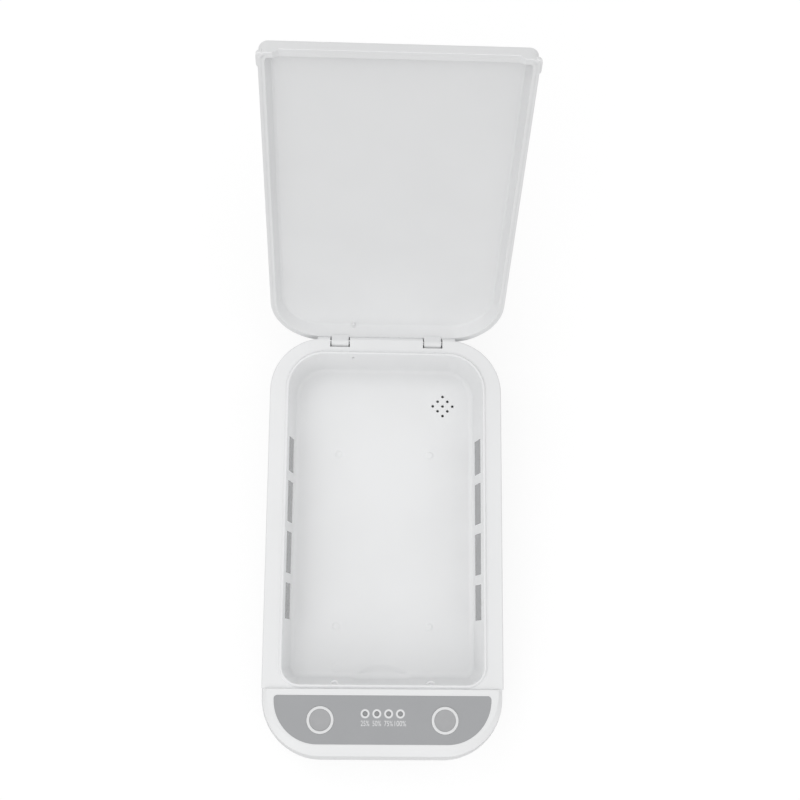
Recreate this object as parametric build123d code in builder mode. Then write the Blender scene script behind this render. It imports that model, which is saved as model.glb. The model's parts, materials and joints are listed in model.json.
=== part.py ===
"""Box that disinfects a phone with ultraviolet light, standing with its lid open on its hinge stop.

Frame: origin at the centre of the base's footprint on the surface it stands on, +X to the user's
right, +Y to the hinge, +Z up. Millimetres. The lid is modelled on a plane that turns with it.
"""

import os
from math import cos, radians, sin, sqrt, tan

from build123d import *

os.makedirs("parts", exist_ok=True)

# ---------------------------------------------------------------- base casing
base_width = 120.0
base_length = 213.0
deck_height = 37.0
front_corner_radius = 30.0
back_corner_radius = 28.0
wall = 2.2
deck_thickness = 2.2
deck_edge_radius = 0.8
parting_height = 12.0
lip_height = 1.5
lip_clearance = 0.1
underside_edge_radius = 3.0
underside_height = 1.0

# ---------------------------------------------------------------- control panel
panel_length = 34.4
panel_rise = 1.0
panel_round_height = 5.0
panel_side_round = 2.8
panel_front_round = 7.3
panel_round_steps = 5
panel_pocket_margin = 2.0
overlay_side_inset = 6.2
overlay_length = 23.6
overlay_gap = 3.1
overlay_thickness = 0.5
overlay_side_gap = 0.1
overlay_front_radius = 21.6
overlay_back_radius = 1.8
least_straight = 0.1

# ---------------------------------------------------------------- chamber tray
deck_side_width = 9.7
chamber_back_gap = 8.6
chamber_front_gap = 2.1
chamber_floor = 16.0
chamber_taper = 9.2
chamber_back_radius = 18.6
chamber_front_radius = 9.0
chamber_floor_radius = 3.0
tray_wall = 1.7
tray_gap = 0.3
bead_height = 1.2
bead_edge_radius = 0.45
flange_width = 1.3
flange_thickness = 1.5
window_sill = 2.8
window_head = 4.8
window_lengths = [18.0, 21.1, 21.1, 18.0]
window_rib = 5.0
window_shift = 5.35
floor_bump_radius = 2.0
floor_bump_height = 0.5
floor_bump_slope = 30.0
floor_bump_offset = 24.0
floor_bump_back_inset = 49.4
floor_bump_front_inset = 28.8
scoop_radius = 17.7
scoop_reach = 9.5
scoop_depth = 0.8
screw_well_radius = 2.1
screw_well_offset = 23.0
screw_well_depth = 0.9
aroma_side_inset = 19.3
aroma_back_inset = 22.6
aroma_hole_radius = 0.75
aroma_pitch = 3.7
aroma_rows = 3
aroma_turn = 45.0
sensor_offset = -17.4
sensor_hole_radius = 0.8
sensor_hole_length = 8.0
sensor_drop = 4.5

# ---------------------------------------------------------------- hinge and lid
hinge_side_inset = 35.75
hinge_inset = 1.9
hinge_drop = 3.0
hinge_pin_radius = 1.0
hinge_pin_clearance = 0.05
pin_seat_clearance = 0.02
knuckle_radius = 2.3
knuckle_width = 9.1
knuckle_side_gap = 0.4
notch_clearance = 0.35
notch_floor_drop = 3.2
notch_corner_width = 1.8
notch_corner_length = 1.5
ear_width = 5.0
ear_reach = 3.1
ear_depth = 7.0
lid_open_angle = 117.7
lid_inset = 0.2
lid_back_inset = 0.4
lid_front_gap = 0.3
lid_gap = 0.3
lid_thickness = 9.5
lid_edge_radius = 1.6
lid_front_radius = 3.0
lid_skin = 1.6
lid_rim_width = 2.9
lid_wall = 1.5
liner_gap = 0.1
liner_thickness = 1.2
liner_slope = 20.0
liner_floor_radius = 1.6
liner_front_radius = 4.5
lid_relief_inset = 8.9
lid_relief_height = 2.6
lid_relief_length = 4.4
lid_ear_proud = 0.8
lid_ear_radius = 3.2
lid_ear_height = 3.2
lid_rib_width = 1.3
lid_rib_length = 3.0
lid_rib_height = 1.6
lid_rib_back = 14.0

# ---------------------------------------------------------------- buttons and lights
button_side_inset = 29.25
button_front = 19.35
button_radius = 6.7
button_gap = 0.3
button_edge_radius = 0.25
button_ring_width = 1.4
button_proud = 0.3
button_disc_thickness = 0.6
button_disc_recess = 0.25
button_disc_gap = 0.05
button_flange_radius = 8.0
button_flange_thickness = 0.9
button_rest_gap = 0.3
button_travel = 0.6
plunger_radius = 1.75
plunger_gap = 0.05
plunger_length = 2.4
switch_size = 6.0
switch_height = 3.2
switch_floor = 1.0
light_pitch = 5.79
light_front = 22.45
light_radius = 1.2
light_gap = 0.05
light_flange_radius = 1.9
light_flange_thickness = 0.8
light_names = ["25", "50", "75", "100"]
led_width = 2.0
led_length = 1.4
led_height = 0.9

# ---------------------------------------------------------------- electrics
board_thickness = 1.6
board_side_inset = 16.0
board_length = 22.0
board_corner_radius = 1.0
board_post_radius = 2.6
board_screw_inset = 3.5
chip_width = 7.0
chip_length = 5.0
chip_height = 1.6
buzzer_radius = 4.5
buzzer_height = 4.0
buzzer_hole_radius = 0.9
buzzer_hole_depth = 1.0
buzzer_offset = 15.0
lamp_radius = 2.3
lamp_wall_gap = 3.3
lamp_back_inset = 33.4
lamp_front_inset = 22.5
lamp_seat_clearance = 0.05
holder_length = 8.0
holder_width = 6.4
holder_wall = 1.0
holder_corner_radius = 1.0
holder_height = 8.0
reflector_thickness = 0.3
reflector_gap = 0.1
driver_board_width = 62.0
driver_board_length = 34.0
driver_board_shift = 2.45
driver_standoff = 2.6
transformer_width = 18.0
transformer_length = 14.0
transformer_height = 4.2
winding_width = 9.0
winding_length = 18.2
winding_height = 2.1
inlet_width = 7.6
inlet_height = 2.8
inlet_length = 6.0
inlet_wall = 0.4
inlet_corner_radius = 0.9
inlet_tongue_width = 3.8
inlet_tongue_thickness = 0.6
inlet_gap = 0.2
inlet_setback = 0.6
inlet_board_width = 14.0
inlet_board_length = 10.0
inlet_post_offset = 4.6
inlet_post_radius = 1.3
inlet_centre_height = 7.4
sensor_width = 4.0
sensor_length = 2.0
sensor_height = 3.2
sensor_gap = 0.15
magnet_radius = 2.4
magnet_thickness = 0.6
magnet_gap = 0.1
aroma_cup_radius = 8.0
aroma_cup_wall = 1.0
aroma_cup_depth = 6.0
aroma_pad_gap = 0.2
heater_radius = 5.5
heater_thickness = 0.8

# ---------------------------------------------------------------- fasteners and feet
foot_radius = 5.0
foot_thickness = 1.8
foot_gap = 0.15
foot_edge_radius = 0.4
foot_side_inset = 22.0
foot_end_inset = 26.0
boss_wall_gap = 0.3
boss_web_reach = 2.0
boss_web_low = 15.0
boss_radius = 3.0
boss_drop = 10.0
pillar_top = 9.0
screw_radius = 1.45
screw_clearance = 0.05
screw_head_radius = 2.4
screw_head_height = 1.8
case_screw_length = 14.0
small_screw_radius = 0.95
small_head_radius = 1.9
small_head_height = 1.1
pillar_radius = 2.6
small_screw_length = 5.0
screw_slot_width = 0.5
screw_slot_margin = 0.6

# ---------------------------------------------------------------- derived places
half_width = base_width / 2
front_edge = -base_length / 2
back_edge = base_length / 2
panel_seam = front_edge + panel_length
panel_top = deck_height + panel_rise
hinge_line = back_edge - hinge_inset
hinge_height = deck_height - hinge_drop
chamber_half = half_width - deck_side_width
chamber_back = back_edge - chamber_back_gap
chamber_front = panel_seam + chamber_front_gap
chamber_middle = (chamber_front + chamber_back) / 2
chamber_depth = deck_height - chamber_floor
tray_top = deck_height + bead_height
panel_under = panel_top - wall
inner_floor = underside_height + wall
boss_top = deck_height - boss_drop
window_middle = (chamber_floor + window_sill + deck_height - window_head) / 2
lamp_ends = (chamber_front + lamp_front_inset, chamber_back - lamp_back_inset)
lamp_offset = half_width - wall - lamp_wall_gap
overlay_half = half_width - overlay_side_inset
board_width = base_width - 2 * board_side_inset
hinge_offset = half_width - hinge_side_inset
button_offset = half_width - button_side_inset
aroma_place = (chamber_half - aroma_side_inset, chamber_back - aroma_back_inset)
driver_board_place = (0, chamber_middle - driver_board_shift)


def rounded_outline(half, front, back, front_radius, back_radius):
    """Rectangle from front to back with its own radii at the two ends."""
    with BuildSketch() as outline:
        with Locations((0, (front + back) / 2)):
            Rectangle(2 * half, back - front)
        fillet(outline.vertices().group_by(Axis.Y)[0], front_radius)
        fillet(outline.vertices().group_by(Axis.Y)[-1], back_radius)
    return outline.sketch


def case_outline(inset=0.0):
    """Outline of the casing seen from above, drawn in by an even margin."""
    return rounded_outline(
        half_width - inset,
        front_edge + inset,
        back_edge - inset,
        front_corner_radius - inset,
        back_corner_radius - inset,
    )


def chamber_outline(grow=0.0):
    """Mouth of the chamber at the deck, grown outwards by an even margin."""
    return rounded_outline(
        chamber_half + grow,
        chamber_front - grow,
        chamber_back + grow,
        chamber_front_radius + grow,
        chamber_back_radius + grow,
    )


def panel_section(turn):
    """Outline of the panel's rounded edge where the edge has turned by this angle from upright."""
    share = 1 - cos(turn)
    side, front = panel_side_round * share, panel_front_round * share
    return rounded_outline(
        half_width - side,
        front_edge + front,
        back_edge,
        front_corner_radius - (side + front) / 2,
        back_corner_radius,
    )


def overlay_outline(grow=0.0):
    back = panel_seam - overlay_gap
    return rounded_outline(
        overlay_half + grow,
        back - overlay_length - grow,
        back + grow,
        min(overlay_front_radius, overlay_length - overlay_back_radius - least_straight) + grow,
        overlay_back_radius + grow,
    )


def save(piece, label):
    piece.label = label
    export_step(piece, f"parts/{label}.step")


foot_places = [
    (side * (half_width - foot_side_inset), end)
    for end in (front_edge + foot_end_inset, back_edge - foot_end_inset)
    for side in (-1, 1)
]
case_corners = [
    (front_corner_radius, front_edge + front_corner_radius, -1),
    (back_corner_radius, back_edge - back_corner_radius, 1),
]


def corner_places(wall_distance):
    """Points on the diagonals of the four corners, this far in from the casing's face."""
    return [
        (
            side * (half_width - radius + (radius - wall_distance) / sqrt(2)),
            middle + way * (radius - wall_distance) / sqrt(2),
        )
        for radius, middle, way in case_corners
        for side in (-1, 1)
    ]


case_screw_places = corner_places(wall + boss_wall_gap + boss_radius)
boss_web_places = corner_places(wall + boss_wall_gap + boss_radius - boss_web_reach)
button_places = {
    "sterilize": (-button_offset, front_edge + button_front),
    "aroma": (button_offset, front_edge + button_front),
}
light_places = [
    ((index - (len(light_names) - 1) / 2) * light_pitch, front_edge + light_front)
    for index in range(len(light_names))
]
hinge_places = [-hinge_offset, hinge_offset]
button_flange_top = panel_under - button_rest_gap
button_stem_low = button_flange_top - button_flange_thickness
board_top = button_stem_low - plunger_length - button_travel - plunger_gap - switch_floor
board_centre = front_edge + wall + panel_pocket_margin + panel_front_round / 2 + board_length / 2
board_post_places = [
    (side * (board_width / 2 - board_screw_inset), board_centre + end)
    for side in (-1, 1)
    for end in (-(board_length / 2 - board_screw_inset), board_length / 2 - board_screw_inset)
]

taper_run = chamber_depth * tan(radians(chamber_taper))
floor_inset = taper_run + chamber_floor_radius
chamber_floor_outline = chamber_outline(-floor_inset)
floor_bump_places = [
    (side * floor_bump_offset, end)
    for end in (chamber_back - floor_bump_back_inset, chamber_front + floor_bump_front_inset)
    for side in (-1, 1)
]
window_row = sum(window_lengths) + window_rib * (len(window_lengths) - 1)
window_starts = [
    chamber_middle - window_shift - window_row / 2 + sum(window_lengths[:index]) + window_rib * index
    for index in range(len(window_lengths))
]
tray_screw_places = [
    (side * screw_well_offset, chamber_front + floor_inset + screw_well_radius / 2)
    for side in (-1, 1)
]

driver_post_places = [
    (
        side * (driver_board_width / 2 - board_screw_inset),
        driver_board_place[1] + way * (driver_board_length / 2 - board_screw_inset),
    )
    for side in (-1, 1)
    for way in (-1, 1)
]
inlet_board_top = inlet_centre_height - inlet_height / 2
inlet_board_place = (0, back_edge - wall - inlet_board_length / 2)

# ---------------------------------------------------------------- rounded cap of the panel
with BuildPart() as panel_cap:
    for step in range(panel_round_steps + 1):
        turn = radians(90) * step / panel_round_steps
        with BuildSketch(Plane.XY.offset(panel_top - panel_round_height * (1 - sin(turn)))):
            add(panel_section(turn))
    loft(ruled=True)
    with BuildSketch(Plane.XY.offset(panel_top - panel_round_height)):
        with Locations((0, (panel_seam + back_edge) / 2)):
            Rectangle(base_width, back_edge - panel_seam)
    extrude(amount=panel_round_height, mode=Mode.SUBTRACT)

# ---------------------------------------------------------------- top housing
with BuildPart() as top_housing:
    with BuildSketch(Plane.XY.offset(parting_height)):
        add(case_outline())
    extrude(amount=deck_height - parting_height)
    fillet(top_housing.faces().sort_by(Axis.Z)[-1].edges(), deck_edge_radius)
    with BuildSketch(Plane.XY.offset(panel_top - panel_round_height)):
        with Locations((0, (front_edge + panel_seam) / 2)):
            Rectangle(base_width, panel_length)
    extrude(amount=panel_round_height, mode=Mode.SUBTRACT)
    add(panel_cap.part)
    with BuildSketch(Plane.XY.offset(parting_height)):
        add(case_outline(wall))
    extrude(amount=panel_top - panel_round_height - parting_height, mode=Mode.SUBTRACT)
    with BuildSketch(Plane.XY.offset(parting_height)):
        add(case_outline(wall / 2 - lip_clearance))
    extrude(amount=lip_height + lip_clearance, mode=Mode.SUBTRACT)
    with BuildSketch(Plane.XY.offset(panel_top - panel_round_height)):
        add(case_outline(wall))
        with Locations((0, (front_edge + panel_seam) / 2)):
            Rectangle(base_width, panel_length + 2 * wall, mode=Mode.SUBTRACT)
        add(chamber_outline(tray_wall + flange_width + tray_gap))
    extrude(amount=deck_height - deck_thickness - panel_top + panel_round_height, mode=Mode.SUBTRACT)
    with BuildSketch(Plane.XY.offset(panel_top - panel_round_height)):
        add(
            rounded_outline(
                half_width - wall - panel_pocket_margin - panel_side_round / 2,
                front_edge + wall + panel_pocket_margin + panel_front_round / 2,
                panel_seam - wall,
                front_corner_radius - wall - panel_front_round,
                panel_pocket_margin,
            )
        )
    extrude(amount=panel_round_height - wall, mode=Mode.SUBTRACT)
    # mouth for the chamber tray
    with BuildSketch(Plane.XY.offset(parting_height)):
        add(chamber_outline(tray_wall + tray_gap))
    extrude(amount=tray_top - parting_height, mode=Mode.SUBTRACT)
    # recess for the overlay, and the holes under it
    with BuildSketch(Plane.XY.offset(panel_top)):
        add(overlay_outline())
    extrude(amount=-overlay_thickness, mode=Mode.SUBTRACT)
    with BuildSketch(Plane.XY.offset(panel_top)):
        with Locations(*button_places.values()):
            Circle(button_radius + button_gap)
        with Locations(*light_places):
            Circle(light_radius + light_gap)
    extrude(amount=-wall, mode=Mode.SUBTRACT)
    # screw bosses in the corners
    with BuildSketch(Plane.XY.offset(pillar_top)):
        with Locations(*case_screw_places):
            Circle(boss_radius)
    extrude(amount=boss_top - pillar_top)
    with BuildSketch(Plane.XY.offset(boss_web_low)):
        with Locations(*boss_web_places):
            Circle(boss_radius)
    extrude(amount=boss_top - boss_web_low)
    with BuildSketch(Plane.XY.offset(pillar_top)):
        with Locations(*case_screw_places):
            Circle(screw_radius + screw_clearance)
    extrude(amount=case_screw_length, mode=Mode.SUBTRACT)
    # posts that carry the control board
    with BuildSketch(Plane.XY.offset(board_top)):
        with Locations(*board_post_places):
            Circle(board_post_radius)
    extrude(amount=panel_under + overlay_thickness / 2 - board_top)
    with BuildSketch(Plane.XY.offset(board_top)):
        with Locations(*board_post_places):
            Circle(small_screw_radius + screw_clearance)
    extrude(amount=small_screw_length - board_thickness, mode=Mode.SUBTRACT)
    # ears that hold the hinge pins
    with BuildSketch(Plane.XY.offset(deck_height - ear_depth)):
        with Locations(*[(x, (hinge_line - ear_reach + back_edge - wall / 2) / 2) for x in hinge_places]):
            Rectangle(
                knuckle_width + 2 * (knuckle_side_gap + ear_width),
                back_edge - wall / 2 - hinge_line + ear_reach,
            )
    extrude(amount=ear_depth - deck_thickness / 2)
    for x in hinge_places:
        notch_half = knuckle_width / 2 + knuckle_side_gap
        notch_front = hinge_line - knuckle_radius - notch_clearance
        with BuildSketch(Plane.XY.offset(hinge_height - notch_floor_drop)):
            with Locations((x, (notch_front + back_edge + wall) / 2)):
                Rectangle(2 * notch_half, back_edge + wall - notch_front)
            with Locations((x, notch_front + notch_corner_length / 2)):
                Rectangle(2 * (notch_half + notch_corner_width), notch_corner_length)
        extrude(amount=notch_floor_drop + hinge_drop, mode=Mode.SUBTRACT)
        with BuildSketch(Plane.YZ.offset(x)):
            with Locations((hinge_line, hinge_height)):
                Circle(hinge_pin_radius + pin_seat_clearance)
        extrude(amount=notch_half + ear_width - wall / 2, both=True, mode=Mode.SUBTRACT)
save(top_housing.part, "top_housing")

# ---------------------------------------------------------------- bottom cover
with BuildPart() as bottom_cover:
    with BuildSketch(Plane.XY.offset(underside_height)):
        add(case_outline())
    extrude(amount=parting_height - underside_height)
    fillet(bottom_cover.faces().sort_by(Axis.Z)[0].edges(), underside_edge_radius)
    with BuildSketch(Plane.XY.offset(inner_floor)):
        add(case_outline(wall))
    extrude(amount=parting_height - inner_floor, mode=Mode.SUBTRACT)
    with BuildSketch(Plane.XY.offset(parting_height)):
        add(case_outline(wall / 2))
        add(case_outline(wall), mode=Mode.SUBTRACT)
    extrude(amount=lip_height)
    with BuildSketch(Plane.XY.offset(inner_floor)):
        with Locations(*case_screw_places):
            Circle(boss_radius + screw_clearance)
    extrude(amount=pillar_top - inner_floor)
    with BuildSketch(Plane.XY.offset(underside_height)):
        with Locations(*case_screw_places):
            Circle(screw_radius + screw_clearance)
    extrude(amount=pillar_top - underside_height, mode=Mode.SUBTRACT)
    with BuildSketch(Plane.XY.offset(underside_height)):
        with Locations(*case_screw_places):
            Circle(screw_head_radius + screw_clearance)
    extrude(amount=screw_head_height, mode=Mode.SUBTRACT)
    # blind pockets for the feet
    with BuildSketch(Plane.XY.offset(underside_height)):
        with Locations(*foot_places):
            Circle(foot_radius + foot_gap)
    extrude(amount=foot_thickness - underside_height, mode=Mode.SUBTRACT)
    # pillars under the chamber tray and posts under the boards
    with BuildSketch(Plane.XY.offset(inner_floor)):
        with Locations(*tray_screw_places, *floor_bump_places[:2]):
            Circle(pillar_radius)
    extrude(amount=chamber_floor - tray_wall - inner_floor)
    with BuildSketch(Plane.XY.offset(inner_floor)):
        with Locations(*driver_post_places):
            Circle(pillar_radius)
    extrude(amount=driver_standoff)
    with BuildSketch(Plane.XY.offset(inner_floor)):
        with Locations(*[(side * inlet_post_offset, inlet_board_place[1]) for side in (-1, 1)]):
            Circle(inlet_post_radius)
    extrude(amount=inlet_board_top - board_thickness - inner_floor)
    with BuildSketch(Plane.XY.offset(chamber_floor - tray_wall)):
        with Locations(*tray_screw_places):
            Circle(small_screw_radius + screw_clearance)
    extrude(amount=-small_screw_length, mode=Mode.SUBTRACT)
    with BuildSketch(Plane.XY.offset(inner_floor + driver_standoff)):
        with Locations(*driver_post_places):
            Circle(small_screw_radius + screw_clearance)
    extrude(amount=-small_screw_length + board_thickness, mode=Mode.SUBTRACT)
    # mouth of the power inlet
    with BuildSketch(Plane.XZ.offset(-back_edge)):
        with Locations((0, inlet_centre_height)):
            RectangleRounded(
                inlet_width + 2 * inlet_gap,
                inlet_height + 2 * inlet_gap,
                inlet_corner_radius + inlet_gap,
            )
    extrude(amount=wall, mode=Mode.SUBTRACT)
save(bottom_cover.part, "bottom_cover")

# ---------------------------------------------------------------- chamber tray
with BuildPart() as chamber_hollow:
    with BuildSketch(Plane.XY.offset(deck_height)):
        add(chamber_outline())
    extrude(amount=-chamber_depth, taper=chamber_taper)
    fillet(chamber_hollow.faces().sort_by(Axis.Z)[0].edges(), chamber_floor_radius)

with BuildPart() as chamber_tray:
    with BuildSketch(Plane.XY.offset(deck_height)):
        add(chamber_outline(tray_wall))
    extrude(amount=-(chamber_depth + tray_wall), taper=chamber_taper)
    with BuildSketch(Plane.XY.offset(deck_height)):
        add(chamber_outline(tray_wall))
    extrude(amount=bead_height)
    with BuildSketch(Plane.XY.offset(deck_height - deck_thickness)):
        add(chamber_outline(tray_wall + flange_width))
    extrude(amount=-flange_thickness)
    with BuildSketch(Plane.XY.offset(deck_height)):
        add(chamber_outline())
    extrude(amount=bead_height, mode=Mode.SUBTRACT)
    add(chamber_hollow.part, mode=Mode.SUBTRACT)
    fillet(chamber_tray.faces().sort_by(Axis.Z)[-1].edges(), bead_edge_radius)
    # windows in the side walls, in front of the lamps
    for start, length in zip(window_starts, window_lengths):
        with BuildSketch(Plane.YZ.offset(-half_width)):
            with Locations((start + length / 2, window_middle)):
                Rectangle(length, chamber_depth - window_head - window_sill)
        extrude(amount=base_width, mode=Mode.SUBTRACT)
    # perforations over the aroma pad, a square lattice standing on its corner
    with BuildSketch(Plane.XY.offset(chamber_floor - tray_wall)):
        with Locations(aroma_place):
            with Locations(Location((0, 0, 0), (0, 0, aroma_turn))):
                with GridLocations(aroma_pitch, aroma_pitch, aroma_rows, aroma_rows):
                    Circle(aroma_hole_radius)
    extrude(amount=tray_wall, mode=Mode.SUBTRACT)
    # low bumps that lift the phone off the floor
    with BuildSketch(Plane.XY.offset(chamber_floor)):
        with Locations(*floor_bump_places):
            Circle(floor_bump_radius)
    extrude(amount=floor_bump_height, taper=floor_bump_slope)
    # shallow dish for a fingertip, and the two marks of the tray's screws
    with BuildSketch(Plane.XY.offset(chamber_floor - scoop_depth)):
        with Locations((0, chamber_front - scoop_reach + chamber_floor_radius)):
            Circle(scoop_radius)
        add(chamber_floor_outline, mode=Mode.INTERSECT)
    extrude(amount=scoop_depth + floor_bump_height, mode=Mode.SUBTRACT)
    with BuildSketch(Plane.XY.offset(chamber_floor - tray_wall)):
        with Locations(*tray_screw_places):
            Circle(small_screw_radius + screw_clearance)
    extrude(amount=tray_wall, mode=Mode.SUBTRACT)
    with BuildSketch(Plane.XY.offset(chamber_floor)):
        with Locations(*tray_screw_places):
            Circle(screw_well_radius)
    extrude(amount=-screw_well_depth, mode=Mode.SUBTRACT)
    with BuildSketch(Plane.XZ.offset(-chamber_back - tray_wall)):
        with Locations((sensor_offset, deck_height - sensor_drop)):
            Circle(sensor_hole_radius)
    extrude(amount=sensor_hole_length, mode=Mode.SUBTRACT)
save(chamber_tray.part, "chamber_tray")

# ---------------------------------------------------------------- lid, on the plane that turns with it
turned = radians(lid_open_angle)
lid_plane = Plane(
    origin=(0, hinge_line, hinge_height),
    x_dir=(1, 0, 0),
    z_dir=(0, sin(turned), cos(turned)),
)
lid_up = Axis(lid_plane.origin, lid_plane.z_dir)
rim_level = hinge_drop + lid_gap
lid_back = hinge_inset - lid_back_inset
lid_front = panel_seam + lid_front_gap - hinge_line
liner_depth = lid_thickness - lid_skin - liner_thickness - liner_gap
lid_back_radius = back_corner_radius - lid_inset
lid_ear_places = [
    (side * (half_width - lid_inset + lid_ear_proud - lid_ear_radius), lid_front + lid_ear_radius)
    for side in (-1, 1)
]


def lid_outline(inset=0.0, least_radius=lid_wall):
    """Outline of the lid in its own plane, drawn in by an even margin."""
    return rounded_outline(
        half_width - lid_inset - inset,
        lid_front + inset,
        lid_back - inset,
        max(lid_front_radius - inset, least_radius),
        lid_back_radius - inset,
    )


lid_face = Plane(
    origin=lid_plane.origin + lid_plane.y_dir * lid_front,
    x_dir=lid_plane.x_dir,
    z_dir=-lid_plane.y_dir,
)
with BuildPart() as front_relief:
    with BuildSketch(lid_face):
        with BuildLine():
            relief_top = rim_level + lid_relief_height
            relief_half = half_width - lid_inset - lid_relief_inset
            relief_flare = relief_half + lid_relief_height + lid_gap
            Polyline(
                (-relief_flare, rim_level - lid_gap),
                (relief_flare, rim_level - lid_gap),
                (relief_half, relief_top),
                (-relief_half, relief_top),
                close=True,
            )
        make_face()
    extrude(amount=-lid_relief_length)

with BuildPart() as lid_shell:
    with BuildSketch(lid_plane.offset(rim_level)):
        add(lid_outline())
    extrude(amount=lid_thickness)
    fillet(lid_shell.faces().sort_by(lid_up)[-1].edges(), lid_edge_radius)
    with BuildSketch(lid_plane.offset(rim_level)):
        with Locations(*lid_ear_places):
            Circle(lid_ear_radius)
    extrude(amount=lid_ear_height)
    with BuildSketch(lid_plane.offset(rim_level)):
        add(lid_outline(lid_wall))
    extrude(amount=lid_thickness - lid_skin, mode=Mode.SUBTRACT)
    add(front_relief.part, mode=Mode.SUBTRACT)
    # knuckles under the back wall
    for x in hinge_places:
        side_plane = Plane(origin=lid_plane.origin + (x, 0, 0), x_dir=lid_plane.y_dir, z_dir=(1, 0, 0))
        with BuildSketch(side_plane):
            Circle(knuckle_radius)
            with Locations(((lid_back - knuckle_radius) / 2, rim_level / 2)):
                Rectangle(lid_back + knuckle_radius, rim_level)
            with Locations((lid_back - lid_wall / 2, rim_level)):
                Rectangle(lid_wall, lid_wall)
        extrude(amount=knuckle_width / 2, both=True)
        with BuildSketch(side_plane):
            Circle(hinge_pin_radius + hinge_pin_clearance)
        extrude(amount=knuckle_width / 2, both=True, mode=Mode.SUBTRACT)
save(lid_shell.part, "lid_shell")

with BuildPart() as lid_hollow:
    with BuildSketch(lid_plane.offset(rim_level)):
        add(lid_outline(lid_rim_width, liner_front_radius))
    extrude(amount=liner_depth, taper=liner_slope)
    fillet(lid_hollow.faces().sort_by(lid_up)[-1].edges(), liner_floor_radius)

with BuildPart() as lid_liner:
    with BuildSketch(lid_plane.offset(rim_level)):
        add(lid_outline(lid_wall + liner_gap))
    extrude(amount=lid_thickness - lid_skin - liner_gap)
    add(lid_hollow.part, mode=Mode.SUBTRACT)
    add(front_relief.part, mode=Mode.SUBTRACT)
    with BuildSketch(lid_plane.offset(rim_level + liner_depth)):
        with Locations((sensor_offset, lid_back - lid_rib_back)):
            Rectangle(lid_rib_width, lid_rib_length)
    extrude(amount=-lid_rib_height)
    with BuildSketch(lid_plane.offset(rim_level + lid_thickness - lid_skin - liner_gap)):
        with Locations((sensor_offset, lid_back - lid_rib_back)):
            Circle(magnet_radius + magnet_gap)
    extrude(amount=-magnet_thickness, mode=Mode.SUBTRACT)
save(lid_liner.part, "lid_liner")

with BuildPart() as lid_magnet:
    with BuildSketch(lid_plane.offset(rim_level + lid_thickness - lid_skin - liner_gap)):
        with Locations((sensor_offset, lid_back - lid_rib_back)):
            Circle(magnet_radius)
    extrude(amount=-magnet_thickness)
save(lid_magnet.part, "lid_magnet")

# ---------------------------------------------------------------- hinge pins
pin_half = knuckle_width / 2 + knuckle_side_gap + ear_width - wall / 2
for label, x in zip(("left", "right"), hinge_places):
    with BuildPart() as hinge_pin:
        with BuildSketch(Plane.YZ.offset(x)):
            with Locations((hinge_line, hinge_height)):
                Circle(hinge_pin_radius)
        extrude(amount=pin_half, both=True)
    save(hinge_pin.part, f"hinge_pin_{label}")

# ---------------------------------------------------------------- control overlay
with BuildPart() as control_overlay:
    with BuildSketch(Plane.XY.offset(panel_top - overlay_thickness)):
        add(overlay_outline(-overlay_side_gap))
        with Locations(*button_places.values()):
            Circle(button_radius + button_gap, mode=Mode.SUBTRACT)
        with Locations(*light_places):
            Circle(light_radius + light_gap, mode=Mode.SUBTRACT)
    extrude(amount=overlay_thickness)
save(control_overlay.part, "control_overlay")

# ---------------------------------------------------------------- buttons and their switches
cap_top = panel_top + button_proud
disc_top = cap_top - button_disc_recess
disc_floor = disc_top - button_disc_thickness
disc_radius = button_radius - button_ring_width
for label, place in button_places.items():
    with BuildPart() as button_cap:
        with BuildSketch(Plane.XY.offset(button_stem_low)):
            with Locations(place):
                Circle(button_flange_radius)
        extrude(amount=button_flange_thickness)
        with BuildSketch(Plane.XY.offset(button_flange_top)):
            with Locations(place):
                Circle(button_radius)
        extrude(amount=cap_top - button_flange_top)
        fillet(button_cap.faces().sort_by(Axis.Z)[-1].edges(), button_edge_radius)
        with BuildSketch(Plane.XY.offset(disc_floor)):
            with Locations(place):
                Circle(disc_radius)
        extrude(amount=cap_top - disc_floor, mode=Mode.SUBTRACT)
    save(button_cap.part, f"{label}_button_cap")

    with BuildPart() as button_disc:
        with BuildSketch(Plane.XY.offset(disc_floor)):
            with Locations(place):
                Circle(disc_radius - button_disc_gap)
        extrude(amount=button_disc_thickness)
    save(button_disc.part, f"{label}_button_disc")

    with BuildPart() as plunger:
        with BuildSketch(Plane.XY.offset(button_stem_low)):
            with Locations(place):
                Circle(plunger_radius)
        extrude(amount=-plunger_length)
    save(plunger.part, f"{label}_switch_plunger")

    with BuildPart() as switch:
        with BuildSketch(Plane.XY.offset(board_top)):
            with Locations(place):
                Rectangle(switch_size, switch_size)
        extrude(amount=switch_height)
        with BuildSketch(Plane.XY.offset(board_top + switch_floor)):
            with Locations(place):
                Circle(plunger_radius + plunger_gap)
        extrude(amount=switch_height - switch_floor, mode=Mode.SUBTRACT)
    save(switch.part, f"{label}_switch")

# ---------------------------------------------------------------- progress lights
for label, place in zip(light_names, light_places):
    with BuildPart() as light_pipe:
        with BuildSketch(Plane.XY.offset(board_top + led_height + light_gap)):
            with Locations(place):
                Circle(light_radius)
        extrude(amount=panel_top - board_top - led_height - light_gap)
        with BuildSketch(Plane.XY.offset(panel_under)):
            with Locations(place):
                Circle(light_flange_radius)
        extrude(amount=-light_flange_thickness)
    save(light_pipe.part, f"light_pipe_{label}")

    with BuildPart() as led:
        with BuildSketch(Plane.XY.offset(board_top)):
            with Locations(place):
                Rectangle(led_width, led_length)
        extrude(amount=led_height)
    save(led.part, f"led_{label}")

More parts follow.
